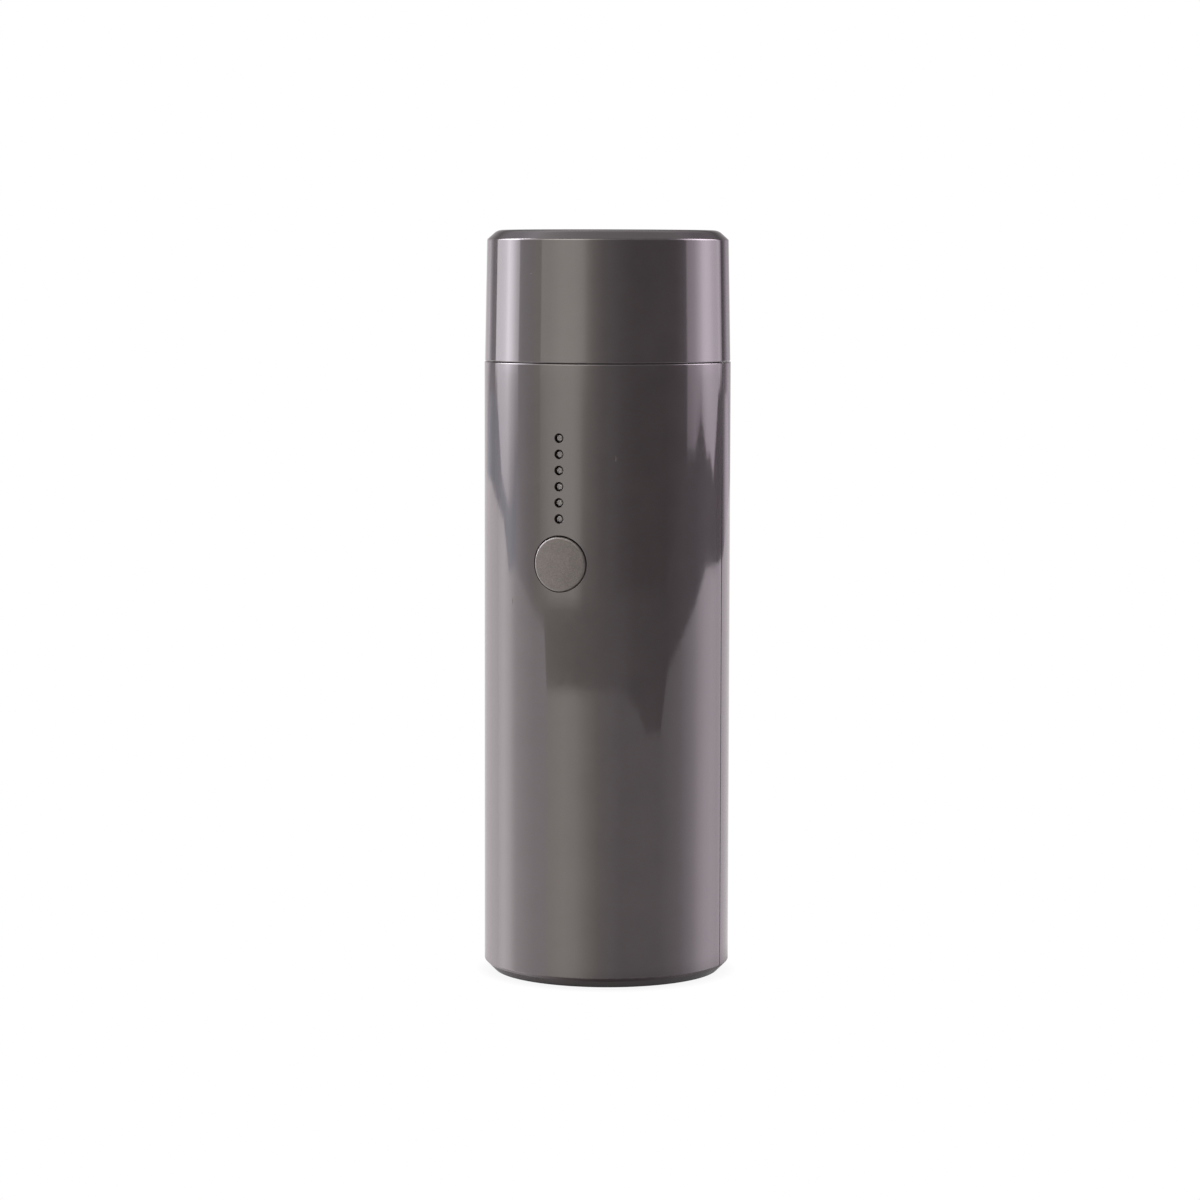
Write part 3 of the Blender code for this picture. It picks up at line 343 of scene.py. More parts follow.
# Rings of the table: distance from the axis in mm, and share of the column's brightness at the right and at
# the left
TABLE_RINGS = ((24, 0.25, 0.70), (28, 0.50, 0.90), (34, 0.85, 1.0), (46, 1.0, 1.0))
TABLE_DROP = 0.2 * MM
FLOOR_REACH = 6.0
FLOOR_DROP = 0.3 * MM
SHADOW_REACH = 3 * MM
SHADOW_TONE = 0.9
GAP_LIGHT = 0.3


# Shape helpers


def arc(first, last, steps=ARC_STEPS):
    """Angles from one in degrees to another, as radians."""
    return [math.radians(first + (last - first) * i / steps) for i in range(steps + 1)]


def rounding(radius, first=0, last=90, steps=ARC_STEPS):
    """How far an arc is from two sides of the corner that it rounds, at its points."""
    return [(radius * (1 - math.cos(a)), radius * (1 - math.sin(a))) for a in arc(first, last, steps)]


def rounded_corner(before, corner, after, radius):
    """Points of an arc in place of a corner, with a support point at either end."""
    back = (before - corner).normalized()
    ahead = (after - corner).normalized()
    half_angle = back.angle(ahead) / 2
    run = radius / math.tan(half_angle)
    centre = corner + (back + ahead).normalized() * radius / math.sin(half_angle)
    start = corner + back * run
    end = corner + ahead * run
    points = [start + back * SUPPORT]
    for i in range(ARC_STEPS + 1):
        spoke = (start - centre).lerp(end - centre, i / ARC_STEPS)
        points.append(centre + spoke.normalized() * radius)
    points.append(end + ahead * SUPPORT)
    return points


def softened(profile):
    """A profile of (radius, height) points. A third number rounds that corner."""
    points = []
    for i, corner in enumerate(profile):
        place = Vector(corner[:2])
        if len(corner) == 2:
            points.append(place)
            continue
        before = Vector(profile[i - 1][:2])
        after = Vector(profile[(i + 1) % len(profile)][:2])
        points += rounded_corner(before, place, after, corner[2])
    return points


def skin(shape, rows, rows_close, row_closes):
    """Quads between successive rows of points."""
    rings = [[shape.verts.new(point) for point in row] for row in rows]
    pairs = list(zip(rings, rings[1:]))
    if rows_close:
        pairs.append((rings[-1], rings[0]))
    for one, other in pairs:
        sides = range(len(one) if row_closes else len(one) - 1)
        for i in sides:
            j = (i + 1) % len(one)
            shape.faces.new((one[i], one[j], other[j], other[i]))
    return rings


def plain_mesh(shape):
    mesh = bpy.data.meshes.new("mesh")
    shape.to_mesh(mesh)
    shape.free()
    return mesh


def finished_mesh(shape):
    """The mesh of a shape, with smooth faces and sharp edges."""
    bmesh.ops.remove_doubles(shape, verts=shape.verts, dist=MERGE)
    bmesh.ops.recalc_face_normals(shape, faces=shape.faces)
    mesh = plain_mesh(shape)
    mesh.shade_smooth()
    mesh.set_sharp_from_angle(angle=SHARP_ANGLE)
    return mesh


def turned(profile, steps=FINE_STEPS, ring=False):
    """A solid of revolution about Z. A ring's profile closes on itself, and any other has its ends on the
    axis."""
    shape = bmesh.new()
    points = softened(profile)
    rows = [[(r * x, r * y, z) for r, z in points] for x, y in round_outline(1, steps)]
    skin(shape, rows, rows_close=True, row_closes=ring)
    return finished_mesh(shape)


def lofted(rows):
    """A solid through closed rows of points, with a flat face at each end."""
    shape = bmesh.new()
    rings = skin(shape, rows, rows_close=False, row_closes=True)
    shape.faces.new(rings[0])
    shape.faces.new(rings[-1])
    return finished_mesh(shape)


def outline(width, height, radius, corner_steps=8, side_steps=8):
    """Points round a rectangle with round corners, about the origin. Its straight sides have points too."""
    x, y = width / 2 - radius, height / 2 - radius
    corners = [
        [(u + radius * math.cos(a), v + radius * math.sin(a)) for a in arc(start, start + 90, corner_steps)]
        for u, v, start in ((x, y, 0), (-x, y, 90), (-x, -y, 180), (x, -y, 270))
    ]
    points = []
    for corner, following in zip(corners, corners[1:] + corners[:1]):
        points += corner
        for step in range(1, side_steps):
            t = step / side_steps
            points.append(tuple(a + (b - a) * t for a, b in zip(corner[-1], following[0])))
    return points


def round_outline(radius, steps=FINE_STEPS, x=0):
    """Points round a circle, whose centre is at x to the side."""
    return [(x + radius * math.cos(angle), radius * math.sin(angle)) for angle in arc(0, 360, steps)[:-1]]


def wall_distance(x, radius=RADIUS):
    """How far a round wall is from the plane of the axis, at a sideways place."""
    return math.sqrt(radius**2 - x**2)


def on_wall(points, side, z, depth, radius=RADIUS):
    """An outline laid on the front or rear wall, at a depth below its surface."""
    return [(x, side * (wall_distance(x, radius) - depth), z + up) for x, up in points]


def on_plane(points, side, z, distance):
    """The same on a flat plane, at a distance from the axis."""
    return [(x, side * distance, z + up) for x, up in points]


def flare(edge):
    """(growth, depth) pairs that round the edge of a hole, from inside it out to just past the surface."""
    last_angle = 72
    straight_end = edge * 1.2
    past = 0.03 * MM
    pairs = [(0, straight_end), *rounding(edge, 0, last_angle)]
    growth, depth = pairs[-1]
    pairs.append((growth + (depth + past) * math.tan(math.radians(last_angle)), -past))
    return pairs


def hole_rows(grown, side, z, inner, edge, radius=RADIUS):
    """Rows of a cutter for a hole in a wall. It flares where it leaves the wall, to round the hole's edge.
    grown gives the hole's outline for an allowance."""
    rows = [on_plane(grown(0), side, z, inner)]
    rows += [on_wall(grown(growth), side, z, depth, radius) for growth, depth in flare(edge)]
    widest = flare(edge)[-1][0]
    rows.append(on_plane(grown(widest), side, z, radius + OUTSIDE))
    return rows


def placed(name, data):
    """A new object in the scene, which gives its data its name."""
    data.name = name
    made = bpy.data.objects.new(name, data)
    bpy.context.scene.collection.objects.link(made)
    return made


def combined(mesh, steps):
    """A mesh after some Booleans, each given as its operation and a mesh."""
    target = placed("target", mesh)
    tools = []
    for operation, tool_mesh in steps:
        tools.append(placed("tool", tool_mesh))
        step = target.modifiers.new("step", "BOOLEAN")
        step.operation = operation
        step.object = tools[-1]
        step.solver = "EXACT"
    result = bpy.data.meshes.new_from_object(target.evaluated_get(bpy.context.evaluated_depsgraph_get()))
    for used in [target, *tools]:
        bpy.data.objects.remove(used)
    shape = bmesh.new()
    shape.from_mesh(result)
    bmesh.ops.dissolve_degenerate(shape, dist=MERGE, edges=shape.edges)
    return finished_mesh(shape)


def cut(*meshes):
    return [("DIFFERENCE", mesh) for mesh in meshes]


def join(*meshes):
    return [("UNION", mesh) for mesh in meshes]


def box(one, other):
    """A plain box between two corners, for a Boolean."""
    low = [min(pair) for pair in zip(one, other)]
    high = [max(pair) for pair in zip(one, other)]
    corners = ((low[0], low[1]), (high[0], low[1]), (high[0], high[1]), (low[0], high[1]))
    return lofted([[(x, y, z) for x, y in corners] for z in (low[2], high[2])])


def rod_along_y(size, x, z):
    """A plain round bar of a size (radius, near end, far end), for a Boolean."""
    radius, near, far = size
    ring = round_outline(radius, FINE_STEPS // 2, x)
    return lofted([on_plane(ring, 1, z, y) for y in (near, far)])


def keep_wall_round(mesh, radius):
    """Exact normals on the round outer wall, so that reflections run smoothly past the holes in it."""
    normals = [(0.0, 0.0, 0.0)] * len(mesh.loops)
    tolerance = 0.005 * MM
    for face in mesh.polygons:
        places = [mesh.vertices[i].co for i in face.vertices]
        if all(abs(place.to_2d().length - radius) < tolerance for place in places):
            for loop, place in zip(face.loop_indices, places):
                normals[loop] = (*place.to_2d().normalized(), 0.0)
    mesh.normals_split_custom_set(normals)


def piece(name, mesh, body, slot, replaced):
    """A piece that can be seen: on its body, in its slot's look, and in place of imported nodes."""
    made = placed(name, mesh)
    mesh.materials.append(LOOKS[slot])
    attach(made, body)
    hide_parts(replaced)


# Case


def shell_profile():
    """Section of the case's wall, counted round from the inner edge of its top."""
    groove_low, groove_high, groove_radius = GRILLE_GROOVE
    seat_top, seat_radius = FILTER_SEAT
    rib_low, rib_high, rib_radius = FAN_RIB
    lip_low, lip_radius = TOP_LIP
    return [
        (lip_radius, SHELL_TOP, 0.2 * MM),
        (RADIUS, SHELL_TOP, RIM_EDGE),
        (RADIUS, CHAMFER, EDGE),
        (RADIUS - CHAMFER, 0, EDGE),
        (INTAKE_RADIUS, 0, EDGE),
        (INTAKE_RADIUS, groove_low),
        (groove_radius, groove_low),
        (groove_radius, groove_high),
        (seat_radius, groove_high),
        (seat_radius, seat_top),
        (BORE, seat_top),
        (BORE, rib_low),
        (rib_radius, rib_low),
        (rib_radius, rib_high),
        (BORE, rib_high),
        (BORE, lip_low),
        (lip_radius, lip_low),
    ]


def half_stops():
    """(share of the way round, drop) from one seam edge to the other: the wall drops to round each edge."""
    length = math.pi * RADIUS
    stops = [(along / length, drop) for drop, along in rounding(SEAM_EDGE, 90, 0)]
    stops.append(((SEAM_EDGE + SUPPORT) / length, 0))
    count = ROUND_STEPS // 2
    middle = [(i / count, 0) for i in range(1, count)]
    return stops + middle + [(1 - share, drop) for share, drop in reversed(stops)]


def half_shell(side):
    """Half of the case's tube, up to the seam plane."""
    points = softened(shell_profile())
    rows = []
    for share, drop in half_stops():
        row = []
        for radius, z in points:
            radius *= 1 - drop / RADIUS
            start = math.asin(SEAM_GAP / 2 / radius)
            angle = start + (math.pi - 2 * start) * share
            row.append((radius * math.cos(angle), side * radius * math.sin(angle), z))
        rows.append(row)
    return lofted(rows)


def seam_lips(clearance=0.0):
    """Lips that close the two seams from inside, as boxes in the wall and in the base. With a clearance they
    are the cutters of their rebates."""
    lips = []
    for (near, far), (low, high) in LIPS:
        for sign in (-1, 1):
            one = (sign * (near - clearance), -LIP_ROOT if clearance == 0 else 0, low - clearance)
            other = (sign * (far + clearance), LIP_DEPTH + clearance, high + clearance)
            lips.append(box(one, other))
    return lips


def screw_places():
    """(x, z, pillar radius) of the four case screws."""
    places = []
    for node, pillar_radius in SCREW_PAIRS:
        middle = centre_of(node)
        places += [(sign * middle.x, middle.z, pillar_radius) for sign in (-1, 1)]
    return places


def pillars(side):
    """Pillars of the case screws, from the seam plane into the wall."""
    made = []
    for x, z, radius in screw_places():
        ring = round_outline(radius, FINE_STEPS // 4, x)
        rows = [on_plane(ring, side, z, SEAM_GAP / 2), on_wall(ring, side, z, WALL / 2)]
        made.append(lofted(rows))
    return made


def cell_rib(x, near, far):
    """A rib that reaches in from the wall to a cell or to the tray."""
    low, high = CELL_RIB_HEIGHTS
    return box((x - CELL_RIB_HALF, near, low), (x + CELL_RIB_HALF, far, high))


def front_shell():
    """The half with the button's opening, the indicator holes and the posts of the control board."""
    posts = []
    pilots = []
    for node in ("board_screw_low", "board_screw_high"):
        middle = centre_of(node)
        posts.append(rod_along_y(BOARD_POST, middle.x, middle.z))
        pilots.append(rod_along_y(BOARD_PILOT, middle.x, middle.z))
    pilots += [rod_along_y(SCREW_PILOT, x, z) for x, z, _ in screw_places()]
    ribs = [cell_rib(x, *FRONT_RIB_ENDS) for x in (-FRONT_RIB_X, FRONT_RIB_X)]
    aside, above = BUTTON_PLAY
    opening_radius = BUTTON_RADIUS + BUTTON_GAP
    opening = hole(opening_radius, aside, BUTTON_Z + above, FRONT_SIDE, edge=BUTTON_HOLE_EDGE)
    lights = [hole(LED_HOLE_RADIUS, 0, z, FRONT_SIDE, edge=LED_HOLE_EDGE) for z in LED_HEIGHTS]
    steps = join(*pillars(FRONT_SIDE), *posts, *ribs, *seam_lips()) + cut(*pilots, opening, *lights)
    mesh = combined(half_shell(FRONT_SIDE), steps)
    keep_wall_round(mesh, RADIUS)
    piece("front_case", mesh, "housing", "case_plastic", "front_shell")


def hole(radius, x, z, side, inner=INSIDE, edge=HOLE_EDGE):
    """Cutter of a round hole through the wall."""

    def grown(growth):
        return round_outline(radius + growth, x=x)

    return lofted(hole_rows(grown, side, z, inner, edge))


def cover_outline(inset, side_steps=8):
    """Outline of the port's cover, smaller by an inset."""
    grow = -2 * inset
    least_corner = 0.05 * MM
    corner = max(COVER_CORNER - inset, least_corner)
    return outline(COVER_WIDTH + grow, COVER_TOP - COVER_LOW + grow, corner, side_steps=side_steps)


def rear_shell():
    """The half with the screw wells and the charging port's pocket."""
    screw_holes = [rod_along_y(SCREW_HOLE, x, z) for x, z, _ in screw_places()]
    wells = [hole(SCREW_WELL_RADIUS, x, z, REAR_SIDE, SCREW_SEAT_Y) for x, z, _ in screw_places()]
    inner, outer = PORT_RAIL
    rails = [box(inner, outer), box((-inner[0], *inner[1:]), (-outer[0], *outer[1:]))]
    rib = cell_rib(0, *REAR_RIB_ENDS)

    def pocket_outline(growth):
        return cover_outline(-COVER_GAP - growth)

    def port_outline(growth):
        grow = 2 * (PORT_CLEARANCE + growth)
        return outline(PORT_SIZE[0] + grow, PORT_SIZE[1] + grow, PORT_CORNER + growth)

    pocket = lofted(hole_rows(pocket_outline, REAR_SIDE, COVER_MIDDLE, INSIDE, HOLE_EDGE))
    notch = hole(NAIL_NOTCH_RADIUS, 0, COVER_LOW + MM, REAR_SIDE)
    top = 2 * COVER_TOP
    floor = [(0, 0), (PORT_POCKET_RADIUS, 0), (PORT_POCKET_RADIUS, top), (0, top)]
    pocket = combined(pocket, join(notch) + cut(turned(floor)))
    opening_rows = hole_rows(port_outline, REAR_SIDE, PORT_Z, INSIDE, HOLE_EDGE, PORT_POCKET_RADIUS)
    opening = lofted(opening_rows)
    rebates = seam_lips(LIP_CLEARANCE)
    steps = join(*pillars(REAR_SIDE), *rails, rib) + cut(*screw_holes, *wells, pocket, opening, *rebates)
    mesh = combined(half_shell(REAR_SIDE), steps)
    keep_wall_round(mesh, RADIUS)
    piece("rear_case", mesh, "housing", "case_plastic", "rear_shell")


def cap():
    """The pull-off cap: a hollow turned piece that tapers a little."""
    roof = CAP_TOP - WALL
    inner = CAP_RADIUS_HIGH - WALL
    profile = [
        (0, CAP_TOP),
        (CAP_RADIUS_HIGH - CHAMFER, CAP_TOP, CAP_TOP_EDGE),
        (CAP_RADIUS_HIGH, CAP_TOP - CAP_CHAMFER_DROP, CAP_SIDE_EDGE),
        (CAP_RADIUS_LOW, CAP_LOW, JOINT_EDGE),
        (CAP_RADIUS_LOW - WALL, CAP_LOW, 0.15 * MM),
        (inner, roof - MM, 0.6 * MM),
        (inner - MM, roof, 0.6 * MM),
        (0, roof),
    ]
    piece("cap_cover", turned(profile, ROUND_STEPS), "cap", "case_plastic", "cap")


def intake_grille():
    """The round grille in the base, with its flange in the groove of the shells."""
    low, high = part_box("intake_grille")
    face, top, flange = low.z, high.z, high.x
    flange_low = GRILLE_GROOVE[0] + 0.2 * MM
    plug = INTAKE_RADIUS - 0.2 * MM
    profile = [
        (0, top),
        (flange, top, 0.2 * MM),
        (flange, flange_low),
        (plug, flange_low),
        (plug, face, 0.3 * MM),
        (0, face),
    ]
    slot_count, inner, outer, width = 12, 5.5 * MM, 15.5 * MM, 2.0 * MM
    levels = [(0, top - face + MM), *flare(HOLE_EDGE)]
    levels.append((levels[-1][0], -OUTSIDE))
    slots = []
    for i in range(slot_count):
        turn = Matrix.Rotation(math.tau * i / slot_count, 3, "Z")
        rows = []
        for growth, depth in levels:
            grow = 2 * growth
            ring = outline(outer - inner + grow, width + grow, (width + grow) / 2, 6, side_steps=4)
            rows.append([turn @ Vector((x + (inner + outer) / 2, y, face + depth)) for x, y in ring])
        slots.append(lofted(rows))
    mesh = combined(turned(profile, ROUND_STEPS), cut(*slots))
    piece("base_grille", mesh, "housing", "inner_plastic", "intake_grille")


def dust_filter():
    """Open foam behind the grille, with a rough face."""
    low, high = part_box("dust_filter")
    pitch = 0.4 * MM
    rings = [i * pitch for i in range(int((high.x - 0.3 * MM) / pitch))]
    profile = [(radius, low.z) for radius in rings]
    profile += [(high.x, low.z, 0.3 * MM), (high.x, high.z, 0.3 * MM)]
    profile += [(radius, high.z) for radius in reversed(rings)]
    mesh = turned(profile, ROUND_STEPS)
    pore = 1.1 * MM
    depth = 0.2 * MM
    for vertex in mesh.vertices:
        inward = 1 if vertex.co.z < (low.z + high.z) / 2 else -1
        vertex.co.z += inward * depth * abs(noise.noise(vertex.co / pore)) * 2
    piece("foam_filter", mesh, "housing", "filter_foam", "dust_filter")


# Outlet


def outlet_housing():
    """Fan cover, neck and nozzle in one moulding, with crossed guard ribs."""
    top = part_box("outlet_housing")[1].z
    profile = [
        (6.9 * MM, top, 0.25 * MM),
        (8.2 * MM, top, 0.25 * MM),
        mm(9.2, 134.6, 0.4),
        mm(11.8, 132.3, 0.8),
        mm(20.8, 131.4, 0.5),
        mm(21.8, 130.5, 0.4),
        mm(21.8, 129.2, 0.15),
        mm(20.9, 129.2),
        mm(20.9, 127.0),
        mm(21.8, 127.0, 0.15),
        mm(21.8, 122.4),
        mm(22.9, 122.4),
        mm(22.9, 114.8),
        mm(21.5, 114.8),
        mm(21.5, 122.0),
        mm(19.6, 123.4),
        mm(19.6, 129.2),
        mm(11.3, 130.2),
        mm(7.8, 134.0),
    ]
    reach, mid_z = 8.0 * MM, 136.5 * MM
    section = outline(*mm(1.2, 3.0, 0.4), corner_steps=5, side_steps=2)
    along_x = lofted([[(x, u, mid_z + v) for u, v in section] for x in (-reach, reach)])
    along_y = lofted([[(u, y, mid_z + v) for u, v in section] for y in (-reach, reach)])
    blank = turned(profile, ROUND_STEPS, ring=True)
    mesh = combined(blank, join(along_x, along_y))
    piece("outlet_neck", mesh, "housing", "inner_plastic", "outlet_housing")


def nozzle_sleeve():
    """The soft stepped sleeve that seals in a mattress valve."""
    profile = [
        mm(8.5, 147.0, 0.2),
        mm(9.5, 147.0, 0.25),
        mm(10.0, 146.3, 0.25),
        mm(10.5, 143.2, 0.15),
        mm(10.1, 142.9, 0.1),
        mm(10.9, 139.2, 0.15),
        mm(10.5, 138.9, 0.1),
        mm(11.3, 135.2, 0.1),
        mm(11.0, 134.8, 0.1),
        mm(9.45, 134.8),
    ]
    mesh = turned(profile, ROUND_STEPS, ring=True)
    piece("stepped_sleeve", mesh, "housing", "soft_rubber", "nozzle_sleeve")


def cap_seal():
    """The O-ring round the neck."""
    low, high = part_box("cap_seal")
    cord, sides = 0.9 * MM, 24
    middle = (low.z + high.z) / 2
    ring_radius = 21.95 * MM
    profile = [(ring_radius + u, middle + v) for u, v in round_outline(cord, sides)]
    mesh = turned(profile, ROUND_STEPS, ring=True)
    piece("neck_seal", mesh, "housing", "soft_rubber", "cap_seal")


# Front controls


def facing(mesh, side, z, face_radius=0, bent_above=math.inf):
    """Turns a mesh, whose +Z is a distance from the axis, to the front or rear, at a height. What is further
    out than bent_above follows the wall's curve."""
    for vertex in mesh.vertices:
        x, y, out = vertex.co
        if out > bent_above:
            out -= face_radius - wall_distance(x, face_radius)
        vertex.co = (-side * x, side * out, z + y)
    return mesh


def power_button():
    """The round matte button, whose face follows the case's curve."""
    face = BUTTON_FACE
    flange = BUTTON_RADIUS + 0.9 * MM
    flange_high, flange_low = face - 3.15 * MM, face - 3.95 * MM
    nub_radius, nub_low = 2.0 * MM, face - 4.3 * MM
    pitch = 0.5 * MM
    profile = [(i * pitch, face) for i in range(10)]
    profile += [
        (BUTTON_RADIUS, face, BUTTON_EDGE),
        (BUTTON_RADIUS, flange_high),
        (flange, flange_high),
        (flange, flange_low),
        (nub_radius, flange_low),
        (nub_radius, nub_low),
        (0, nub_low),
    ]
    mesh = facing(turned(profile), FRONT_SIDE, BUTTON_Z, face, face - MM)
    mesh.set_sharp_from_angle(angle=SHARP_ANGLE)
    piece("push_button", mesh, "button", "button_plastic", "power_button")


def light_pipe():
    """The clear moulding whose six round posts end in the indicator holes."""
    low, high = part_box("light_pipe")
    foot = 18.2 * MM
    front, back = -22.7 * MM, -21.3 * MM
    post = [(0, foot), (LED_POST_RADIUS, foot), (LED_POST_RADIUS, LED_TIP, 0.2 * MM), (0, LED_TIP)]
    posts = [facing(turned(post, FINE_STEPS // 2), FRONT_SIDE, z) for z in LED_HEIGHTS]
    bar = box((low.x, front, low.z), (high.x, back, high.z))
    mesh = combined(bar, join(*posts))
    piece("light_guide", mesh, "housing", "light_pipe", "light_pipe")


# Rear


def case_screw(node):
    """A pan-head screw with a cross recess, deep in its well."""
    low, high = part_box(node)
    middle = centre_of(node)
    head_radius, head_height, shank_radius = 1.6 * MM, 1.3 * MM, 0.8 * MM
    profile = [
        (0, high.y),
        (head_radius, high.y, 0.5 * MM),
        (head_radius, high.y - head_height, 0.1 * MM),
        (shank_radius, high.y - head_height),
        (shank_radius, low.y + shank_radius),
        (0, low.y),
    ]
    arm, half, depth = 0.9 * MM, 0.2 * MM, 0.7 * MM
    slots = [
        box((-one, -other, high.y - depth), (one, other, high.y + MM))
        for one, other in ((arm, half), (half, arm))
    ]
    mesh = combined(turned(profile, FINE_STEPS // 2), cut(*slots))
    facing(mesh, REAR_SIDE, middle.z)
    for vertex in mesh.vertices:
        vertex.co.x += middle.x
    piece(f"{node}_cross", mesh, "housing", "dark_steel", node)


def usb_receptacle():
    """Drawn metal shell of the charging port, with a rounded mouth."""
    width, height = PORT_SIZE
    back, mouth = (corner.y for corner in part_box("usb_receptacle"))
    sheet = 0.3 * MM

    def ring(inset, distance):
        nearly_half = height / 2 - inset - MERGE * 4
        size = outline(width - 2 * inset, height - 2 * inset, nearly_half, side_steps=4)
        return on_plane(size, REAR_SIDE, PORT_Z, distance)

    rows = [ring(0, back), ring(0, mouth - sheet / 2 - SUPPORT)]
    rows += [ring(inset, mouth - drop) for inset, drop in rounding(sheet / 2, 0, 180, 2 * ARC_STEPS)]
    rows += [ring(sheet, mouth - sheet / 2 - SUPPORT), ring(sheet, back + sheet)]
    mesh = lofted(rows)
    piece("port_shell", mesh, "housing", "nickel", "usb_receptacle")


def hinge_groove():
    """Cutter of the groove across the cover, just below its hinge, which follows the wall's curve."""
    below, radius, above = HINGE_GROOVE
    reach = COVER_WIDTH / 2 + MM
    steps = 32
    rows = []
    for i in range(steps + 1):
        x = reach * (2 * i / steps - 1)
        middle_y = wall_distance(x) + above
        ring = round_outline(radius, FINE_STEPS // 3)
        rows.append([(x, middle_y + u, HINGE.z - below + v) for u, v in ring])
    return lofted(rows)


def port_cover():
    """Rubber flap that follows the case's curve. The groove along its hinge leaves a bead above it, and the
    plug on its back fits in the port."""
    thickness = RADIUS - PORT_POCKET_RADIUS - 0.15 * MM

    def ring(inset, depth):
        return on_wall(cover_outline(inset, side_steps=14), REAR_SIDE, COVER_MIDDLE, depth)

    steps = 9
    middle = (COVER_TOP - COVER_LOW) / 2 - 0.1 * MM
    insets = [COVER_EDGE + (middle - COVER_EDGE) * (i / steps) for i in range(1, steps + 1)]
    rows = [ring(inset, thickness) for inset in reversed(insets)]
    rows += [ring(0, thickness), ring(0, COVER_EDGE + SUPPORT)]
    rows += [ring(inset, depth) for inset, depth in rounding(COVER_EDGE)]
    rows += [ring(inset, 0) for inset in insets]
    flap = lofted(rows)
    plug_rows = []
    for inset, distance in PLUG_STEPS:
        fit = 2 * (PLUG_FIT + inset)
        size = outline(PORT_SIZE[0] - fit, PORT_SIZE[1] - fit, PLUG_CORNER - inset, 6, side_steps=3)
        plug_rows.append(on_plane(size, REAR_SIDE, PORT_Z, distance))
    plug = lofted(plug_rows)
    mesh = combined(flap, cut(hinge_groove()) + join(plug))
    piece("port_flap", mesh, "port_flap", "soft_rubber", "port_cover")


# Materials: everything is in the pump's own coordinates, in millimetres


def feed(tree, node, inputs):
    """Gives a node its inputs, each a value or another node's output."""
    for name, value in inputs.items():
        if isinstance(value, bpy.types.NodeSocket):
            tree.links.new(value, node.inputs[name])
        elif node.inputs[name].type == "RGBA":
            node.inputs[name].default_value = (*value, 1.0)
        else:
            node.inputs[name].default_value = value


def add_node(tree, kind, inputs=None, **settings):
    """A shader node, with its settings and inputs."""
    made = tree.nodes.new(f"ShaderNode{kind}")
    for name, value in settings.items():
        setattr(made, name, value)
    feed(tree, made, inputs or {})
    return made


def scaled_by(tree, vector, factor):
    return add_node(tree, "VectorMath", {0: vector, "Scale": factor}, operation="SCALE").outputs[0]


def surface(tree, colour, roughness, metallic, relief, depth):
    """Feeds the shader, and bumps the surface by a relief that is depth mm deep."""
    bump = add_node(tree, "Bump", {"Height": relief, "Distance": depth * MM}).outputs[0]
    inputs = {"Base Color": colour, "Roughness": roughness, "Metallic": metallic, "Normal": bump}
    feed(tree, tree.nodes["Principled BSDF"], inputs)


def new_material(name):
    made = bpy.data.materials.new(name)
    made.use_nodes = True
    tree = made.node_tree
    place = scaled_by(tree, add_node(tree, "TexCoord").outputs["Object"], 1 / MM)
    return made, tree, place


def noise_value(tree, place, size, detail=2.0):
    """Noise from 0 to 1 with features of a size in mm."""
    scaled = scaled_by(tree, place, 1 / size)
    made = add_node(tree, "TexNoise", {"Vector": scaled, "Scale": 1.0, "Detail": detail})
    return made.outputs["Fac"]


def remap(tree, value, from_range, to_range):
    inputs = {"Value": value, "From Min": from_range[0], "From Max": from_range[1]}
    inputs["To Min"], inputs["To Max"] = to_range
    return add_node(tree, "MapRange", inputs, clamp=True).outputs["Result"]


def calculate(tree, operation, one, other):
    return add_node(tree, "Math", {0: one, 1: other}, operation=operation).outputs[0]


def mixed(tree, factor, one, other):
    """A colour between two, each of which is a colour or a node's output."""
    return add_node(tree, "Mix", {"Factor": factor, 6: one, 7: other}, data_type="RGBA").outputs[2]


def scaled_colour(colour, factor):
    return tuple(min(1.0, channel * factor) for channel in colour)


def dust(tree, place, spacing, size, share):
    """Mask of a few small specks, spacing mm apart at the closest."""
    scaled = scaled_by(tree, place, 1 / spacing)
    cells = add_node(tree, "TexVoronoi", {"Vector": scaled, "Scale": 1.0})
    spot = remap(tree, cells.outputs["Distance"], (0, size / spacing), (1, 0))
    chosen = add_node(tree, "SeparateColor", {"Color": cells.outputs["Color"]}).outputs["Red"]
    picked = calculate(tree, "LESS_THAN", chosen, share)
    return calculate(tree, "MULTIPLY", spot, picked)


def edge_wear(tree, place, heights):
    """Mask of rubbed patches along edges at the given heights in mm."""
    height = add_node(tree, "SeparateXYZ", {0: place}).outputs["Z"]
    patches = remap(tree, noise_value(tree, place, WEAR_SIZE, detail=4.0), WEAR_RANGE, (0, 1))
    total = None
    for edge in heights:
        away = calculate(tree, "ABSOLUTE", calculate(tree, "SUBTRACT", height, edge), 0.0)
        near = remap(tree, away, WEAR_REACH, (1, 0))
        total = near if total is None else calculate(tree, "MAXIMUM", total, near)
    return calculate(tree, "MULTIPLY", total, patches)


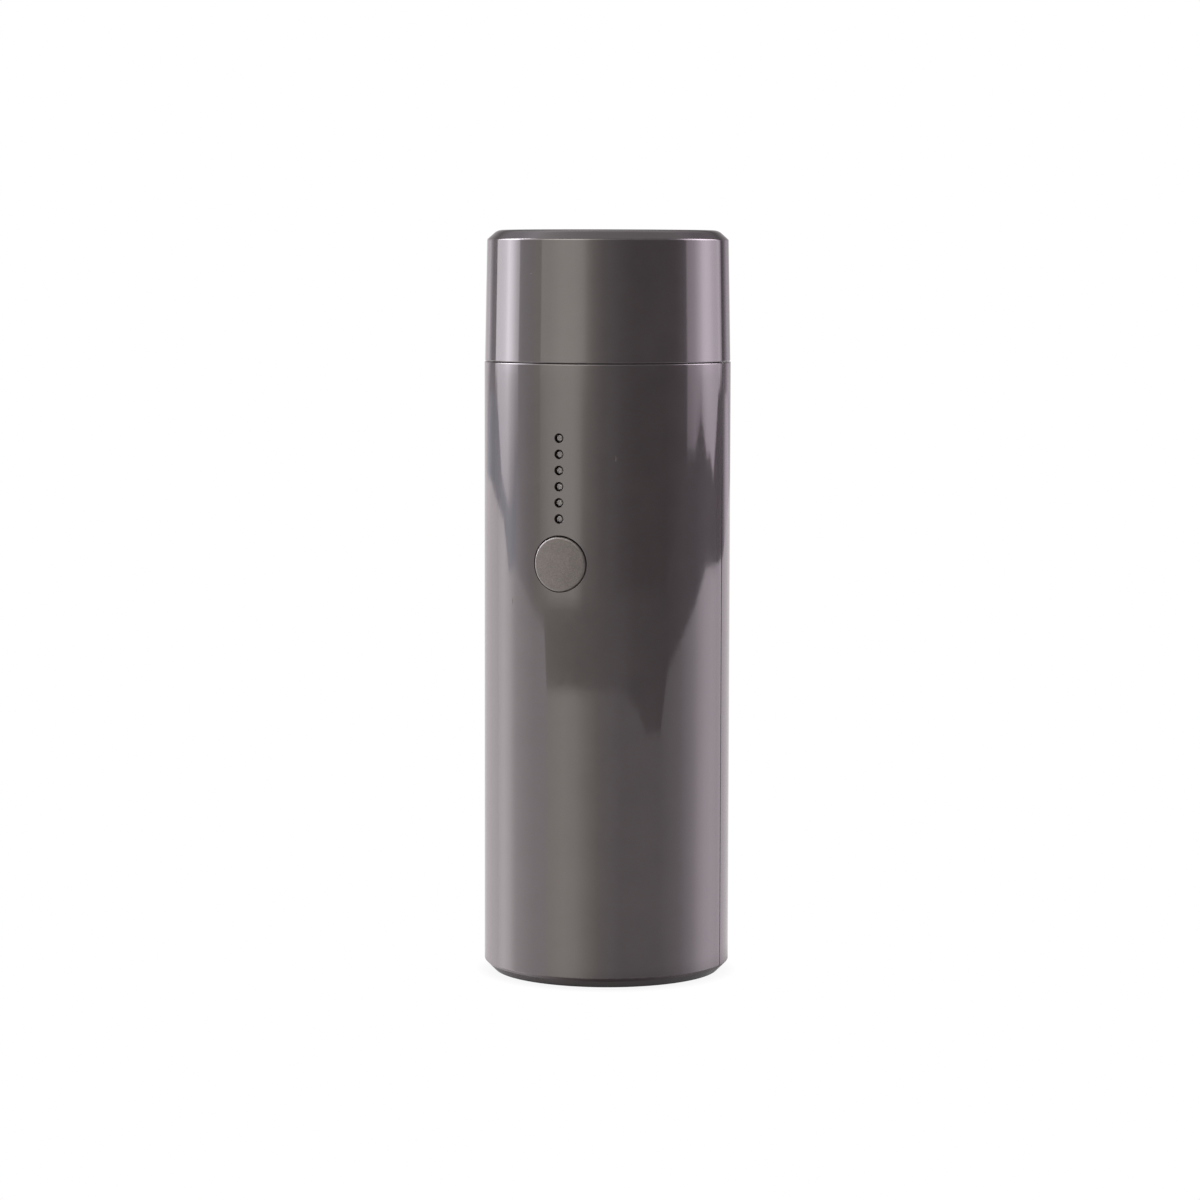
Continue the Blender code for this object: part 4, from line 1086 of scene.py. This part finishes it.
def moulded(name, colour, roughness, mottle, grain, metallic=0.0, fleck=0.0, specks=0.0, wear=()):
    """Plastic, rubber or metal. The share mottle varies its colour, and so does fleck, with the grain, which
    has a size and a depth in mm. It can have a share of dust specks, and wear at some heights in mm."""
    made, tree, place = new_material(name)
    broad = remap(tree, noise_value(tree, place, BROAD_SIZE, detail=3.0), NOISE_RANGE, (0, 1))
    base = mixed(tree, broad, scaled_colour(colour, 1 - mottle), scaled_colour(colour, 1 + mottle))
    size, depth = grain
    relief = noise_value(tree, place, size, detail=3.0)
    if fleck:
        base = scaled_by(tree, base, remap(tree, relief, FLECK_RANGE, (1 - fleck, 1 + fleck)))
    rough = remap(tree, noise_value(tree, place, SMUDGE_SIZE, detail=4.0), NOISE_RANGE, roughness)
    if wear:
        rubbed = edge_wear(tree, place, wear)
        share = calculate(tree, "MULTIPLY", rubbed, WEAR_SHARE)
        base = mixed(tree, share, base, scaled_colour(colour, WEAR_LIGHTENING))
        rough = calculate(tree, "ADD", rough, calculate(tree, "MULTIPLY", rubbed, WEAR_ROUGHENING))
    if specks:
        mask = dust(tree, place, SPECK_SPACING, SPECK_SIZE, specks)
        base = mixed(tree, mask, base, SPECK_COLOUR)
        rough = calculate(tree, "ADD", rough, mask)
    surface(tree, base, rough, metallic, relief, depth)
    return made


def light_pipe_material():
    """Frosted clear plastic."""
    look = {"roughness": (0.50, 0.65), "mottle": 0.1, "grain": (0.15, 0.006)}
    made = moulded("light_pipe", LIGHT_PIPE_COLOUR, **look)
    made.node_tree.nodes["Principled BSDF"].inputs["Transmission Weight"].default_value = 0.15
    return made


def button_material():
    """Finely spark-eroded plastic, with a smooth bevel round the face."""
    look = {"roughness": (0.48, 0.60), "mottle": 0.07, "grain": (0.30, 0.035), "fleck": 0.24}
    made = moulded("button_plastic", BUTTON_COLOUR, **look)
    tree = made.node_tree
    shader = tree.nodes["Principled BSDF"]
    place = add_node(tree, "TexCoord").outputs["Object"]
    aside = add_node(tree, "VectorMath", {0: place, 1: (0, 0, BUTTON_Z)}, operation="SUBTRACT").outputs[0]
    flat = add_node(tree, "VectorMath", {0: aside, 1: (1, 0, 1)}, operation="MULTIPLY").outputs[0]
    distance = add_node(tree, "VectorMath", {0: flat}, operation="LENGTH").outputs["Value"]
    bevel = remap(tree, distance, BUTTON_BEVEL, (0, 1))
    rough = shader.inputs["Roughness"].links[0].from_socket
    smoother = calculate(tree, "SUBTRACT", rough, calculate(tree, "MULTIPLY", bevel, BEVEL_SMOOTHING))
    shine = remap(tree, bevel, (0, 1), BUTTON_SPECULAR)
    feed(tree, shader, {"Roughness": smoother, "Specular IOR Level": shine})
    return made


def case_material():
    """Glossy moulded case, with a little dust and faintly worn edges."""
    edges = (CHAMFER, SHELL_TOP, CAP_LOW, CAP_TOP - CAP_CHAMFER_DROP, CAP_TOP)
    look = {"roughness": (0.035, 0.060), "mottle": 0.07, "grain": (1.6, 0.0012), "specks": 0.16}
    return moulded("case_plastic", CASE_COLOUR, **look, wear=[height / MM for height in edges])


def circuit_board_material():
    """Green solder mask over traces, with tinned pads."""
    made, tree, place = new_material("circuit_board")
    flat = add_node(tree, "VectorMath", {0: place, 1: (1, 0, 1)}, operation="MULTIPLY").outputs[0]
    cells = {"Vector": flat, "Scale": 0.55}
    edges = add_node(tree, "TexVoronoi", cells, feature="DISTANCE_TO_EDGE").outputs["Distance"]
    trace = remap(tree, edges, (0.03, 0.06), (1, 0))
    pads = dust(tree, flat, spacing=2.6, size=0.45, share=0.45)
    mask = mixed(tree, trace, *MASK_COLOURS)
    base = mixed(tree, pads, mask, TIN_COLOUR)
    relief = calculate(tree, "ADD", trace, pads)
    surface(tree, base, roughness=0.35, metallic=pads, relief=relief, depth=0.03)
    return made


def core_material():
    """Stacked steel sheets of the armature and the ground shaft: fine bands along the axis."""
    made, tree, place = new_material("core_steel")
    waves = {"Vector": place, "Scale": 0.6, "Distortion": 0.3}
    bands = add_node(tree, "TexWave", waves, bands_direction="Z")
    base = mixed(tree, bands.outputs["Fac"], *SHEET_COLOURS)
    rough = remap(tree, noise_value(tree, place, 1.5), NOISE_RANGE, (0.3, 0.5))
    surface(tree, base, rough, metallic=1.0, relief=bands.outputs["Fac"], depth=0.03)
    return made


def make_looks():
    """The material of each of the record's slots."""
    looks = {
        "case_plastic": case_material(),
        "button_plastic": button_material(),
        "light_pipe": light_pipe_material(),
        "circuit_board": circuit_board_material(),
        "core_steel": core_material(),
    }
    for slot, values in PLAIN_LOOKS.items():
        looks[slot] = moulded(slot, *values)
    return looks


# Studio


def bearing_vector(degrees):
    """Level direction at a bearing from the camera's."""
    bearing = VIEW_BEARING + math.radians(degrees)
    return Vector((math.sin(bearing), -math.cos(bearing), 0))


def camera_place():
    return bearing_vector(0) * VIEW_DISTANCE + Vector((0, 0, VIEW_HEIGHT))


def mirrored_place(degrees, height, reach):
    """Where the camera's line of sight goes, after the case mirrors it at a height towards a bearing."""
    normal = bearing_vector(degrees / 2)
    on_case = normal * RADIUS + Vector((0, 0, height))
    sight = (on_case - camera_place()).normalized()
    away = sight.reflect(normal)
    return on_case + away * (reach / away.to_2d().length)


def between(columns):
    """The columns with others in between, going straight from one to the next."""
    for one, other in zip(columns, columns[1:]):
        for i in range(COLUMN_STEPS):
            t = i / COLUMN_STEPS
            numbers = [a + (b - a) * t for a, b in zip(one[:-1], other[:-1])]
            tint = tuple(a + (b - a) * t for a, b in zip(one[-1], other[-1]))
            yield (*numbers, tint)
    yield columns[-1]


def tinted(tint, glow):
    return tuple(channel * glow for channel in tint)


def emitter(name):
    """A new material without nodes, and its node tree."""
    made = bpy.data.materials.new(name)
    made.use_nodes = True
    made.node_tree.nodes.clear()
    return made, made.node_tree


def emit(tree, colour, strength):
    emission = add_node(tree, "Emission", {"Color": colour, "Strength": strength})
    add_node(tree, "OutputMaterial", {"Surface": emission.outputs[0]})


def glow_material():
    """Light as bright as the mesh's own glow attribute says."""
    made, tree = emitter("studio_light")
    emit(tree, add_node(tree, "Attribute", attribute_name="glow").outputs["Color"], 1.0)
    return made


def light_sheet(name, rows, colours, material):
    """A sheet through rows of points, each point with its own light. The camera doesn't see it."""
    shape = bmesh.new()
    skin(shape, rows, rows_close=False, row_closes=False)
    mesh = plain_mesh(shape)
    glow = mesh.attributes.new("glow", "FLOAT_COLOR", "POINT")
    for item, colour in zip(glow.data, [colour for row in colours for colour in row]):
        item.color = (*colour, 1.0)
    mesh.materials.append(material)
    made = placed(name, mesh)
    made.visible_camera = False
    made.visible_shadow = False
    return made


def light_walls(material):
    rows = []
    colours = []
    heights = [height for height, _, _ in UPPER_LEVELS]
    for bearing, foot, under, low, high, tint in between(LIGHT_COLUMNS):
        marks = (LOW_MARK, foot, foot + FOOT_FADE, MIDDLE_MARK, HIGH_MARK)
        row = [mirrored_place(bearing, mark * MM, WALL_REACH) for mark in marks]
        row += [Vector((row[0].x, row[0].y, height)) for height in (*heights, CEILING_HEIGHT)]
        rows.append(row)
        behind = min(1, max(0, (abs(bearing) - BEHIND[0]) / (BEHIND[1] - BEHIND[0])))
        upper = [high * (beside + (rear - beside) * behind) for _, beside, rear in UPPER_LEVELS]
        middle = low + (high - low) * MIDDLE_SHARE
        glows = (low, middle, high, *upper, ceiling_glow(bearing))
        under_tint = COOL if bearing < COOL_BEARING else tint
        colours.append([tinted(under_tint, under)] * 2 + [tinted(tint, glow) for glow in glows])
    made = light_sheet("light_walls", rows, colours, material)
    made.visible_diffuse = False


def table_material():
    """Light that is as bright as TABLE_COLUMNS says towards each bearing, times the mesh's own glow
    attribute. Steep rays find it dimmer."""
    made, tree = emitter("table_light")
    ray = add_node(tree, "SeparateXYZ", {0: add_node(tree, "NewGeometry").outputs["Incoming"]})
    backward = calculate(tree, "MULTIPLY", ray.outputs["X"], -1.0)
    direction = calculate(tree, "ARCTAN2", backward, ray.outputs["Y"])
    bearing = calculate(tree, "SUBTRACT", direction, VIEW_BEARING)
    wrapped = add_node(tree, "Math", {0: bearing, 1: math.pi, 2: -math.pi}, operation="WRAP").outputs[0]
    share = remap(tree, wrapped, (-math.pi, math.pi), (0, 1))
    ramp = add_node(tree, "ValToRGB", {"Fac": share})
    stops = ramp.color_ramp.elements
    for count, (degrees, _, glow, tint) in enumerate(TABLE_COLUMNS):
        position = (degrees + 180) / 360
        stop = stops[count] if count < 2 else stops.new(position)
        stop.position = position
        stop.color = (*tinted(tint, glow / TABLE_TOP_GLOW), 1.0)
    near = add_node(tree, "Attribute", attribute_name="glow").outputs["Fac"]
    steepness = remap(tree, ray.outputs["Z"], STEEP, (1.0, STEEP_SHARE))
    strength = calculate(tree, "MULTIPLY", calculate(tree, "MULTIPLY", near, steepness), TABLE_TOP_GLOW)
    emit(tree, ramp.outputs["Color"], strength)
    return made


def light_table():
    """The lit top of the table, as the case mirrors it: dim close to the pump."""
    rows = []
    shares = []
    for bearing, reach, _, _ in between(TABLE_COLUMNS):
        rings = [*TABLE_RINGS, (reach, 1.0, 1.0)]
        rows.append([bearing_vector(bearing) * distance * MM for distance, _, _ in rings])
        leftness = max(0, -math.sin(math.radians(bearing)))
        glows = [right + (left - right) * leftness for _, right, left in rings]
        shares.append([(glow, glow, glow) for glow in glows])
    light_sheet("light_table", rows, shares, table_material()).location.z = -TABLE_DROP


def ceiling_glow(bearing):
    """Brightness of the ceiling's edge."""
    return CEILING_GLOW * (1 - CEILING_LEAN * math.sin(math.radians(bearing)))


def light_ceiling(material):
    rows = []
    colours = []
    sides = 24
    for i in range(sides + 1):
        bearing = 360 * i / sides
        up = Vector((0, 0, CEILING_HEIGHT))
        rows.append([up + bearing_vector(bearing) * distance for distance in (MM, CEILING_RADIUS)])
        colours.append([tinted(ROSE, glow) for glow in (CEILING_GLOW, ceiling_glow(bearing))])
    light_sheet("light_ceiling", rows, colours, material)


def floor():
    """The pale floor that the camera sees, a little darker close to the pump."""
    shape = bmesh.new()
    bmesh.ops.create_grid(shape, x_segments=1, y_segments=1, size=FLOOR_REACH)
    mesh = plain_mesh(shape)
    made = placed("floor", mesh)
    made.location.z = -FLOOR_DROP
    material, tree = emitter("floor")
    shade = add_node(tree, "AmbientOcclusion", {"Distance": SHADOW_REACH}, samples=16).outputs["AO"]
    emit(tree, WHITE, remap(tree, shade, (0.0, 1.0), (SHADOW_TONE, 1.0)))
    mesh.materials.append(material)
    made.visible_diffuse = False
    made.visible_glossy = False
    made.visible_shadow = False


def surroundings():
    """White to the camera, and nearly dark between the lights to everything else."""
    world = bpy.data.worlds.new("studio")
    world.use_nodes = True
    bpy.context.scene.world = world
    tree = world.node_tree
    seen = add_node(tree, "LightPath").outputs["Is Camera Ray"]
    strength = remap(tree, seen, (0, 1), (GAP_LIGHT, 1.0))
    feed(tree, tree.nodes["Background"], {"Strength": strength, "Color": WHITE})


def camera():
    data = bpy.data.cameras.new("camera")
    data.lens = VIEW_LENS
    data.clip_start = 10 * MM
    made = placed("camera", data)
    made.location = camera_place()
    to_right = Vector((math.cos(VIEW_BEARING), math.sin(VIEW_BEARING), 0))
    aim = Vector((0, 0, CAP_TOP / 2 + VIEW_RAISE)) - to_right * VIEW_ASIDE
    turn = (aim - made.location).to_track_quat("-Z", "Y") @ Quaternion((0, 0, 1), VIEW_ROLL)
    made.rotation_euler = turn.to_euler()
    bpy.context.scene.camera = made


def studio():
    material = glow_material()
    light_walls(material)
    light_table()
    light_ceiling(material)
    floor()
    surroundings()
    camera()
    bpy.context.scene.view_settings.view_transform = "Standard"


def finish_packed_pieces():
    """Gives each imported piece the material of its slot."""
    for part in frame["record"]["subparts"]:
        mesh = frame["nodes"][part["node"]].data
        mesh.materials.clear()
        mesh.materials.append(LOOKS[part["material_slot"]])


LOOKS = make_looks()
finish_packed_pieces()
front_shell()
rear_shell()
cap()
intake_grille()
dust_filter()
outlet_housing()
nozzle_sleeve()
cap_seal()
power_button()
light_pipe()
for screw_count in range(1, 5):
    case_screw(f"case_screw_{screw_count}")
usb_receptacle()
port_cover()
studio()
